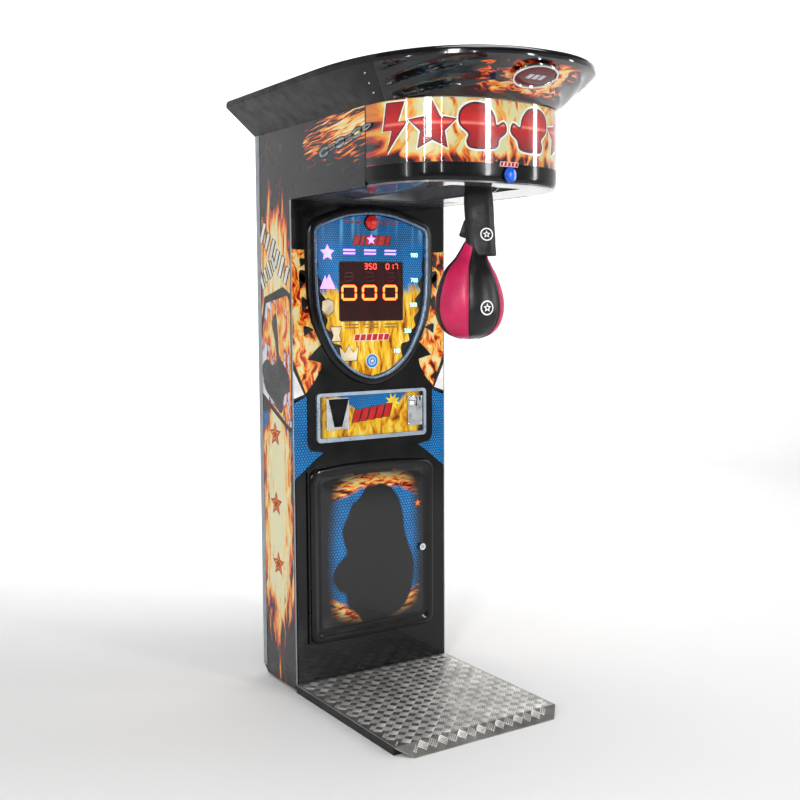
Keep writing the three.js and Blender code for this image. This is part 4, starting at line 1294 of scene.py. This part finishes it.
def roof_outline(half, straight, front, back, sides=14, arc=88, rear=6):
    """points from the back left corner round the front to the back right one and along the back"""
    points = [(-half, back + (straight - back) * i / sides) for i in range(sides)]
    for t in np.linspace(0, math.pi, arc + 1):
        c, s = -math.cos(t), math.sin(t)
        points.append((half * bulged(c, ROOF_POWER), straight + (front - straight) * bulged(s, ROOF_POWER)))
    points += [(half, straight + (back - straight) * (i + 1) / sides) for i in range(sides)]
    points += [(half - 2 * half * (i + 1) / rear, back) for i in range(rear - 1)]
    return np.array(points)


def roof_shape():
    """the whole roof as one closed body, which roof() parts along its seam"""
    low = roof_outline(BODY_HALF + 2, HEAD_STRAIGHT, NOSE_FRONT - 4, COLUMN_BACK)
    high = roof_outline(ROOF_HALF, ROOF_STRAIGHT, ROOF_FRONT, COLUMN_BACK)
    count = len(low)
    rows = [(0.0, HEAD_TOP + 0.3)]
    steps = 26
    rows += [(i / steps, HEAD_TOP + 0.3 + (ROOF_RIM - HEAD_TOP) * i / steps) for i in range(1, steps + 1)]
    rows += [(1.0, ROOF_TOP - 16), (0.995, ROOF_TOP - 9), (0.985, ROOF_TOP - 4), (0.965, ROOF_TOP - 1.2),
             (0.935, ROOF_TOP)]
    centre = np.array([0, (COLUMN_BACK + ROOF_FRONT) / 2])
    vertices = []
    for fraction, z in rows:
        if z <= ROOF_RIM:
            base = low + (high - low) * fraction
        else:
            base = centre + (high - centre) * fraction
            base[:, 1] = np.minimum(base[:, 1], COLUMN_BACK)
            back = np.isclose(high[:, 1], COLUMN_BACK)
            base[back, 1] = COLUMN_BACK
        sink = np.zeros(count)
        if z <= ROOF_RIM:
            for j, (x, y) in enumerate(base):
                sink[j] = groove_depth(x, y, fraction)
        inward = centre - base
        inward /= np.linalg.norm(inward, axis=1)[:, None]
        moved = base + inward * sink[:, None]
        vertices += [(x, y, z) for x, y in moved]
    faces = strip_faces(len(rows), count, close_columns=True)
    last = (len(rows) - 1) * count
    faces += [tuple(range(count)), tuple(last + i for i in range(count))]
    return vertices, faces


GROOVE_DEPTH, GROOVE_LENGTH, GROOVE_START, GROOVE_MIDDLE = 22, 260, 22, 110


def groove_depth(x, y, fraction):
    """how far the sculpted swooshes on the shell's sides sink in: fraction is 0 at the foot, 1 at the rim"""
    edge = min(1, fraction * 8) * min(1, (1 - fraction) * 10)
    seam = -(SEAM_LOW + (SEAM_HIGH - SEAM_LOW) * fraction) + GROOVE_START
    along = (-y - seam) / GROOVE_LENGTH
    if not 0.0 < along < 1.0 or abs(x) < GROOVE_MIDDLE:
        return 0.0
    reach = math.sin(math.pi * along ** 0.7) ** 0.8
    fade = min(1, (abs(x) - GROOVE_MIDDLE) / 90)
    wave = math.sin((fraction - 0.5 * along) * 15.5 + 0.8)
    return edge * reach * fade * GROOVE_DEPTH * max(0.0, wave) ** 0.9


def roof():
    vertices, faces = roof_shape()
    across = Vector((0, SEAM_HIGH - SEAM_LOW, ROOF_RIM - HEAD_TOP))
    normal = Vector((0, across.z, -across.y)).normalized()
    for name, sign, material, node, slot in (
            ("sculpted_shell", 1, roof_art(), "roof_front_shell", "roof_gloss"),
            ("rear_roof_cap", -1, MATT, "roof_rear_cap", "roof_matt")):
        piece = build(name, vertices, faces, material, slot=slot)
        bm = bmesh.new()
        bm.from_mesh(piece.data)
        seam = at(0, SEAM_LOW - sign * 0.8, HEAD_TOP)
        bmesh.ops.bisect_plane(bm, geom=bm.verts[:] + bm.edges[:] + bm.faces[:], plane_co=seam,
                               plane_no=normal * sign, clear_outer=True)
        bmesh.ops.edgeloop_fill(bm, edges=[e for e in bm.edges if len(e.link_faces) == 1])
        bmesh.ops.recalc_face_normals(bm, faces=bm.faces[:])
        bm.to_mesh(piece.data)
        bm.free()
        piece.data.shade_smooth()
        piece.data.set_sharp_from_angle(angle=math.radians(38))
        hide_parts(node)
    for side, word in ((-1, "left"), (1, "right")):
        for i in range(3):
            t = 0.25 + 0.25 * i
            y = SEAM_LOW + (SEAM_HIGH - SEAM_LOW) * t + 26
            z = HEAD_TOP + (ROOF_RIM - HEAD_TOP) * t
            x = BODY_HALF + 2 + (ROOF_HALF - BODY_HALF - 2) * t
            screw(f"roof_screw_{i}_{word}", (side * (x - 5 - 10 * t), y, z), "x", side, 4)
    badge()


def badge():
    low, high = extent("roof_badge")
    centre = (low + high) / 2
    rise = Vector((0, ROOF_FRONT - NOSE_FRONT, ROOF_RIM - HEAD_TOP)).normalized()
    out = Vector((0, -rise.z, rise.y))
    half_x = (high.x - low.x) / 2
    half_z = (high.z - low.z) / 2 / rise.z * 0.92

    def on_badge(a, b, h):
        return tuple(centre + Vector((a, 0, 0)) + rise * b + out * (h - 4))

    count = 56
    oval_loop = oval(0, 0, half_x, half_z, 0, count)

    def rings(profile):
        return [on_badge(a, b, h) for offset, h in profile for a, b in grown(oval_loop, offset)]

    rim = [(0, 0), (0, 6), (-2, 8), (-6, 8), (-8, 5.5), (-8, 0)]
    faces = strip_faces(len(rim), count, close_rows=True, close_columns=True)
    ring = build("badge_rim", rings(rim), faces, CHROME, slot="badge")
    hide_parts("roof_badge")
    crown = [(-7.5, 3.5), (-12, 5.5), (-18, 6.8), (-26, 7.6)]
    faces = strip_faces(len(crown), count, close_columns=True)
    faces += [tuple((len(crown) - 1) * count + i for i in range(count)), tuple(range(count))]
    build("badge_face", rings(crown), faces, BADGE_RED, slot="badge")
    bars = [(bar(-34 + i * 22, -18 + i * 22, -9, 11, 6), []) for i in range(3)]
    sheet("badge_bars", bars, lambda a, b, h: on_badge(a, b, 7.4 + h), 0.6, GREY_PRINT, slot="badge")


# ---------- arm, sleeve and bag ----------

# the way that the emblems on the bag and the sleeve face, forward and to the left, from above
EMBLEM_ANGLE = math.atan2(-2782, -2084)
ARM_LEATHER = {"body": "swinging_arm", "slot": "bag_leather"}
ARM_VINYL = {"body": "swinging_arm", "slot": "black_vinyl"}


def emblem(name, mapper, height, radius, **more):
    """a white ring with a star in it"""
    shapes = [(circle(0, height, radius, 48), [circle(0, height, radius * 0.8, 48)]),
              (star(0, height, radius * 0.62, 0.46), [star(0, height, radius * 0.30, 0.46)])]
    sheet(name, shapes, mapper, 0.6, WHITE_PRINT, longest=8, **more)


BAG_LOW = extent("punching_bag")[0].z
BAG_LEAN = 17
TOWARD = Vector((math.cos(EMBLEM_ANGLE), math.sin(EMBLEM_ANGLE), 0))
ACROSS = Vector((-math.sin(EMBLEM_ANGLE), math.cos(EMBLEM_ANGLE), 0))
NECK_HEIGHT = 313
BELLY = [(0, 6), (3, 30), (9, 54), (18, 73), (42, 95), (76, 108.5), (106, 111.5), (138, 107.5), (174, 97.5),
         (207, 85), (231, 71), (255, 54), (279, 43), (303, 34), (NECK_HEIGHT, 28)]


def bag_axis(z):
    """where the bag's middle hangs at a height: it leans a little out of line with the arm"""
    return Vector((0, PIVOT_Y, 0)) - ACROSS * (BAG_LEAN * min(1, (BAG_LOW + NECK_HEIGHT - z) / 90))


def bag_radius(z):
    return float(np.interp(z - BAG_LOW, [p[0] for p in BELLY_FINE], [p[1] for p in BELLY_FINE]))


def around_bag(z, angle, radius):
    middle = bag_axis(z)
    return (middle.x + radius * math.cos(angle), middle.y + radius * math.sin(angle), z)


BELLY_FINE = fine_curve(BELLY)


def bag():
    panels, per_panel, rows = 6, 16, 72
    columns = panels * per_panel
    vertices = []
    chance = random.Random(7)
    phase = [chance.uniform(0, 6.28) for _ in range(8)]
    for r in range(rows + 1):
        z = BAG_LOW + NECK_HEIGHT * (r / rows) ** 1.25
        base = bag_radius(z)
        fullness = min(1, base / 60)
        for c in range(columns):
            u = (c % per_panel) / per_panel
            t = EMBLEM_ANGLE + 2 * math.pi * c / columns
            valley = (1 - abs(math.sin(math.pi * u))) ** 6
            pucker = math.sin(z / 5.5 + phase[c // per_panel]) * valley * 0.5
            dent = math.sin(3 * t + z / 41 + phase[6]) * math.sin(z / 63 + phase[7]) * 0.9
            radius = base * (1 - 0.028 * valley * fullness) - 0.6 + (pucker + dent - 0.9) * fullness
            vertices.append(around_bag(z, t, radius))
    faces = strip_faces(rows + 1, columns, close_columns=True)
    last = rows * columns
    faces += [tuple(range(columns)), tuple(last + i for i in range(columns))]
    body = build("boxing_bag", vertices, faces, [LEATHER_RED, LEATHER_BLACK], smooth=60, **ARM_LEATHER)
    for polygon in body.data.polygons:
        centre = polygon.center
        middle = bag_axis(centre.z / MM)
        angle = math.atan2((centre.y - FRONT) / MM - middle.y, centre.x / MM - middle.x) - EMBLEM_ANGLE
        panel = int((angle % (2 * math.pi)) / (2 * math.pi / panels))
        polygon.material_index = 1 if panel % 2 == 0 else 0
    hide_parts("punching_bag")
    vertices, faces = [], []
    for k in range(panels):
        t = EMBLEM_ANGLE + 2 * math.pi * k / panels
        path = []
        for r in range(61):
            z = BAG_LOW + 3 + (NECK_HEIGHT - 6) * (r / 60) ** 1.25
            radius = bag_radius(z) * (1 - 0.026 * min(1, bag_radius(z) / 60)) - 0.4
            path.append(around_bag(z, t, radius))
        add_tube(vertices, faces, path, 1.7)
    build("bag_piping", vertices, faces, LEATHER_BLACK, **ARM_LEATHER)
    stitches_on_bag(panels)
    nub = [(radius, BAG_LOW + height) for radius, height in ((0.1, 0), (7, 0), (9, 2), (9, 6), (5, 9))]
    turned("bag_nub", nub, tuple(bag_axis(BAG_LOW)), "z", LEATHER_BLACK, segments=24, **ARM_LEATHER)
    panel_middle = EMBLEM_ANGLE + math.pi / panels

    def flush(a, b, h):
        radius = bag_radius(b) - 0.2
        return around_bag(b, panel_middle + a / radius, radius + h)

    emblem("bag_emblem", flush, 1384, 23, **ARM_LEATHER)


def stitches_on_bag(panels):
    """short threads on both sides of every seam"""
    vertices, faces = [], []
    for k in range(panels):
        for side in (-1, 1):
            z = BAG_LOW + 22
            while z < BAG_LOW + 255:
                ends = []
                for dz in (0, 2.6, 5.2):
                    radius = bag_radius(z + dz) * 0.985 - 0.4 + (0.5 if dz == 2.6 else 0)
                    t = EMBLEM_ANGLE + 2 * math.pi * k / panels + side * 5.2 / radius
                    ends.append(around_bag(z + dz, t, radius))
                add_tube(vertices, faces, ends, 0.45, 5)
                z += 8
    build("bag_stitches", vertices, faces, THREAD, **ARM_LEATHER)


SLEEVE_LOW, SLEEVE_HIGH = extent("arm_sleeve")[0].z - 3, extent("arm_sleeve")[1].z
SLEEVE_POWER = 3.2


def sleeve_form(z):
    """half width, half depth and sideways lean of the sleeve at a height"""
    share = (z - SLEEVE_LOW) / (SLEEVE_HIGH - SLEEVE_LOW)
    waist = math.exp(-((share - 0.97) / 0.07) ** 2)
    return 47.5 - 3.0 * share - 3.0 * waist, 41.0 - 3.5 * share - 3.0 * waist, 20.0 - 11.0 * share


def sleeve_point(u, z, h=0.0):
    """a point on the creased vinyl: u goes round it and h is the height above it"""
    wide, deep, lean = sleeve_form(z)
    c, s = math.cos(u), math.sin(u)
    share = (z - SLEEVE_LOW) / (SLEEVE_HIGH - SLEEVE_LOW)
    fold = 1.0 * math.sin(z / 23 + 2 * u) * math.sin(z / 41 + 1)
    fold += (0.9 * math.sin(5 * u + z / 13) + 0.6 * math.sin(9 * u - z / 19)) * max(0.0, 1 - share * 5)
    a = (wide + fold + h) * bulged(c, SLEEVE_POWER)
    b = (deep + fold + h) * bulged(s, SLEEVE_POWER)
    p = ACROSS * (a + lean) + TOWARD * b
    return (p.x, PIVOT_Y + p.y, z)


def sleeve():
    rows, columns, bore = 60, 96, 19
    heights = [SLEEVE_LOW + (SLEEVE_HIGH - SLEEVE_LOW) * i / rows for i in range(rows + 1)]
    layers = [(SLEEVE_LOW + 1.2, -3.0), (SLEEVE_LOW - 1.2, -1.6), (SLEEVE_LOW - 1.2, -0.6)]
    layers += [(z, 0.0) for z in heights]
    layers += [(SLEEVE_HIGH + 0.6, -1.2), (SLEEVE_HIGH, -8), (SLEEVE_HIGH - 2, -20)]
    vertices = []
    for z, h in layers:
        vertices += [sleeve_point(2 * math.pi * c / columns, z, h) for c in range(columns)]
    faces = strip_faces(len(layers), columns, close_columns=True)
    for z in (SLEEVE_HIGH - 2, SLEEVE_LOW + 46):
        for c in range(columns):
            u = 2 * math.pi * c / columns
            p = TOWARD * bore * math.sin(u) + ACROSS * bore * math.cos(u)
            vertices.append((p.x, PIVOT_Y + p.y, z))
    count = len(layers)
    faces += [tuple(i + count * columns for i in f) for f in strip_faces(2, columns, close_columns=True)]
    for c in range(columns):
        n = (c + 1) % columns
        top, core, foot = (count - 1) * columns, count * columns, (count + 1) * columns
        faces.append((top + c, top + n, core + n, core + c))
        faces.append((c, n, foot + n, foot + c))
    cloth = build("vinyl_sleeve", vertices, faces, SLEEVE_VINYL, smooth=70, **ARM_VINYL)
    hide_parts("arm_sleeve")

    def fin(a, b, h):
        p = ACROSS * (a + 0.06 * (1640 - b)) + TOWARD * (h - 14 + 1.4 * math.sin(b / 8))
        return (p.x, PIVOT_Y + p.y, b)
    flap = [(-26, 1664), (-34, 1656), (-44, 1632), (-52, 1611), (-47, 1606), (-26, 1600)]
    sheet("sleeve_tab", [(flap, [])], fin, 2.4, SLEEVE_VINYL, longest=7, bevel=0.8, **ARM_VINYL)
    stitches_on_sleeve()
    vertices, faces = tube([sleeve_point(2.62, z, 0.1) for z in heights], 1.5)
    build("sleeve_welt", vertices, faces, SLEEVE_VINYL, **ARM_VINYL)

    def front_face(a, b, h):
        wide, deep, lean = sleeve_form(b)
        depth = deep * (1 - min(0.98, abs(a) / wide) ** SLEEVE_POWER) ** (1 / SLEEVE_POWER)
        p = ACROSS * (a + lean) + TOWARD * (depth + 1.0 + h)
        return (p.x, PIVOT_Y + p.y, b)

    emblem("sleeve_emblem", lambda a, b, h: front_face(a + 20, b, h), 1611, 20, **ARM_VINYL)


def stitches_on_sleeve():
    """two rings of stitches round the hems and two rows up the seam"""
    vertices, faces = [], []
    steps = 64
    for z in (SLEEVE_LOW + 7, SLEEVE_HIGH - 9):
        for k in range(steps):
            turns = [2 * math.pi * (k + d) / steps for d in (0, 0.3, 0.6)]
            points = [sleeve_point(u, z, h) for u, h in zip(turns, (-0.2, 0.5, -0.2))]
            add_tube(vertices, faces, points, 0.5, 6)
    for u in (2.55, 2.70):
        z = SLEEVE_LOW + 10
        while z < SLEEVE_HIGH - 14:
            points = [sleeve_point(u, z + d, h) for d, h in ((0, -0.2), (2.2, 0.5), (4.4, -0.2))]
            add_tube(vertices, faces, points, 0.5, 6)
            z += 7
    build("sleeve_stitches", vertices, faces, THREAD, **ARM_VINYL)


def mechanism():
    paint_nodes(ZINC, "arm_frame_left", "arm_frame_right", "arm_frame_rear", "buffer_bar", "latch_solenoid")
    paint_nodes(STEEL, "shaft_bearing_left", "shaft_bearing_right", "pivot_shaft", "punch_arm", "latch_hook")
    paint_nodes(MATT, "optical_sensor", "power_inlet")
    paint_nodes(CIRCUIT, "control_board")
    paint_nodes(ZINC, "power_supply")


# ---------- platform ----------


def platform():
    # the plate takes the darker copy of the steel: painted shade between the bars
    paint_nodes(PLATE_STEEL_PAINTED_SHADE, "platform_plate")
    paint_nodes(MATT, "platform_base")
    low = extent("platform_plate")[0]
    flat_end = extent("platform_base")[0].y - 6
    slope = Vector((low.y + 4 - flat_end, -(PLATE_TOP - 6)))
    slope_length = slope.length
    slope /= slope_length
    cell, bars = 38.0, 5

    def surface(x, run, h):
        """run goes from the column forwards, over the bend and down the lip"""
        beyond = run + flat_end
        if beyond <= 0:
            return (x, -run, PLATE_TOP + h)
        y = flat_end + slope.x * beyond - h * abs(slope.y)
        z = PLATE_TOP + slope.y * beyond + h * abs(slope.x)
        return (x, y, z)

    vertices, faces = [], []
    half_wide = BODY_HALF - 4
    total = -flat_end + slope_length - 6
    columns, rows = int(2 * half_wide / cell) + 1, int(total / cell) + 1
    for row in range(rows):
        for column in range(columns):
            cx = -half_wide + (column + 0.5) * cell - 4
            cy = 8 + (row + 0.5) * cell
            tilt = math.radians(45 if (row + column) % 2 else -45)
            c, s = math.cos(tilt), math.sin(tilt)
            for k in range(bars):
                off = (k - (bars - 1) / 2) * cell / 6.0
                long = cell * 0.43
                ox, oy = cx - s * off, cy + c * off
                reach = [(ox + c * long * e, oy + s * long * e) for e in (-1, 1)]
                if not all(abs(px) < half_wide and 4 < py < total for px, py in reach):
                    continue
                if any(py > -flat_end - 8 and abs(px) > half_wide - 45 for px, py in reach):
                    continue
                faces += tread_bar(vertices, surface, (ox, oy), (c, s), long, cell / 15.0)
    # the bars take the lighter copy of the steel: painted light on the bars
    build("tread_bars", vertices, faces, BAR_STEEL_PAINTED_LIGHT, slot="tread_plate", smooth=50)


def tread_bar(vertices, surface, centre, direction, long, wide):
    """one raised bar with rounded ends, as a low ridge on the surface"""
    base = len(vertices)
    ends, rim = 5, []
    for end in (1, -1):
        for i in range(ends):
            angle = math.pi * (i / (ends - 1) - 0.5)
            rim.append((end * (long - wide + wide * math.cos(angle)), end * wide * math.sin(angle)))
    for share, height in ((1.0, -0.1), (0.62, 1.0), (0.25, 1.3)):
        for u, v in rim:
            if share < 1:
                u = math.copysign(max(0, abs(u) - wide * (1 - share)), u)
            px = centre[0] + direction[0] * u - direction[1] * v * share
            py = centre[1] + direction[1] * u + direction[0] * v * share
            vertices.append(surface(px, py, height))
    count = len(rim)
    faces = [tuple(base + i for i in f) for f in strip_faces(3, count, close_columns=True)]
    faces.append(tuple(base + 2 * count + i for i in range(count)))
    faces.append(tuple(base + i for i in range(count)))
    return faces


# ---------- studio ----------


def floor():
    """a pale dish: a flat floor that bends up into a wall all round"""
    material = bpy.data.materials.new("studio_floor")
    material.use_nodes = True
    shader = material.node_tree.nodes["Principled BSDF"]
    shader.inputs["Base Color"].default_value = (0.86, 0.86, 0.86, 1)
    shader.inputs["Roughness"].default_value = 0.7
    radius, rise, bend, sides = 7.5, 5.5, 1.5, 72
    profile = [(0.4, 0.0), (3.0, 0.0), (radius - bend, 0.0)]
    for i in range(1, 13):
        a = math.pi / 2 * i / 12
        profile.append((radius - bend + bend * math.sin(a), bend - bend * math.cos(a)))
    profile.append((radius, rise))
    turns = [2 * math.pi * k / sides for k in range(sides)]
    vertices = [(r * math.cos(t), r * math.sin(t), z) for r, z in profile for t in turns]
    faces = strip_faces(len(profile), sides, close_columns=True) + [tuple(range(sides))]
    shell = bmesh.new()
    mesh = bpy.data.meshes.new("studio")
    mesh.from_pydata(vertices, [], faces)
    shell.from_mesh(mesh)
    bmesh.ops.recalc_face_normals(shell, faces=shell.faces)
    if shell.faces[0].normal.z < 0:
        bmesh.ops.reverse_faces(shell, faces=shell.faces)
    shell.to_mesh(mesh)
    shell.free()
    mesh.shade_smooth()
    mesh.materials.append(material)
    studio = bpy.data.objects.new("studio", mesh)
    bpy.context.scene.collection.objects.link(studio)


def area_light(name, place, target, size, power):
    light = bpy.data.lights.new(name, "AREA")
    light.shape = "RECTANGLE"
    light.size, light.size_y = size
    light.energy = power
    lamp = bpy.data.objects.new(name, light)
    bpy.context.scene.collection.objects.link(lamp)
    lamp.location = place
    lamp.rotation_euler = (Vector(target) - Vector(place)).to_track_quat("-Z", "Y").to_euler()


def studio():
    floor()
    world = bpy.data.worlds.new("studio_world")
    world.use_nodes = True
    world.node_tree.nodes["Background"].inputs["Color"].default_value = (1, 1, 1, 1)
    world.node_tree.nodes["Background"].inputs["Strength"].default_value = 0.09
    bpy.context.scene.world = world
    area_light("key", (-3.2, -3.0, 3.4), (0, -0.2, 1.2), (0.7, 2.0), 66)
    area_light("front_fill", (1.7, -4.2, 2.2), (0, -0.2, 1.1), (0.35, 2.4), 48)
    area_light("top", (0.2, -0.8, 4.2), (0, 0, 1.8), (2.4, 1.6), 44)
    area_light("left_strip", (-3.4, -0.6, 1.8), (0, 0, 1.4), (0.12, 2.2), 15)
    area_light("nose_strip", (-2.0, -3.6, 2.5), (0, -0.5, 1.9), (0.08, 1.8), 11)
    area_light("second_nose_strip", (-2.9, -2.2, 2.4), (0, -0.5, 1.9), (0.06, 1.8), 9)
    area_light("right_strip", (3.2, -2.2, 2.0), (0, -0.3, 1.4), (0.3, 2.2), 22)
    area_light("backdrop", (0.4, 2.4, 4.6), (3.4, 6.4, 1.8), (5.0, 2.0), 300)


EYE = (-2.084, -3.055, 1.422)
YAW, PITCH, ROLL = (math.radians(angle) for angle in (32.91, 5.44, -0.286))


def camera():
    """yaw turns the view to the right of +Y, and pitch looks down"""
    bpy.context.scene.view_settings.view_transform = "Standard"
    bpy.context.scene.view_settings.look = "Medium High Contrast"
    data = bpy.data.cameras.new("camera")
    data.sensor_width = 36
    data.lens = 49.2
    eye = bpy.data.objects.new("camera", data)
    bpy.context.scene.collection.objects.link(eye)
    aim = Matrix.Rotation(-YAW, 4, "Z") @ Matrix.Rotation(math.pi / 2 - PITCH, 4, "X")
    eye.matrix_world = Matrix.Translation(EYE) @ aim @ Matrix.Rotation(ROLL, 4, "Z")
    bpy.context.scene.camera = eye


cabinet()
front()
shield()
coin_panel()
service_door()
head()
roof()
mechanism()
bag()
sleeve()
platform()
studio()
camera()
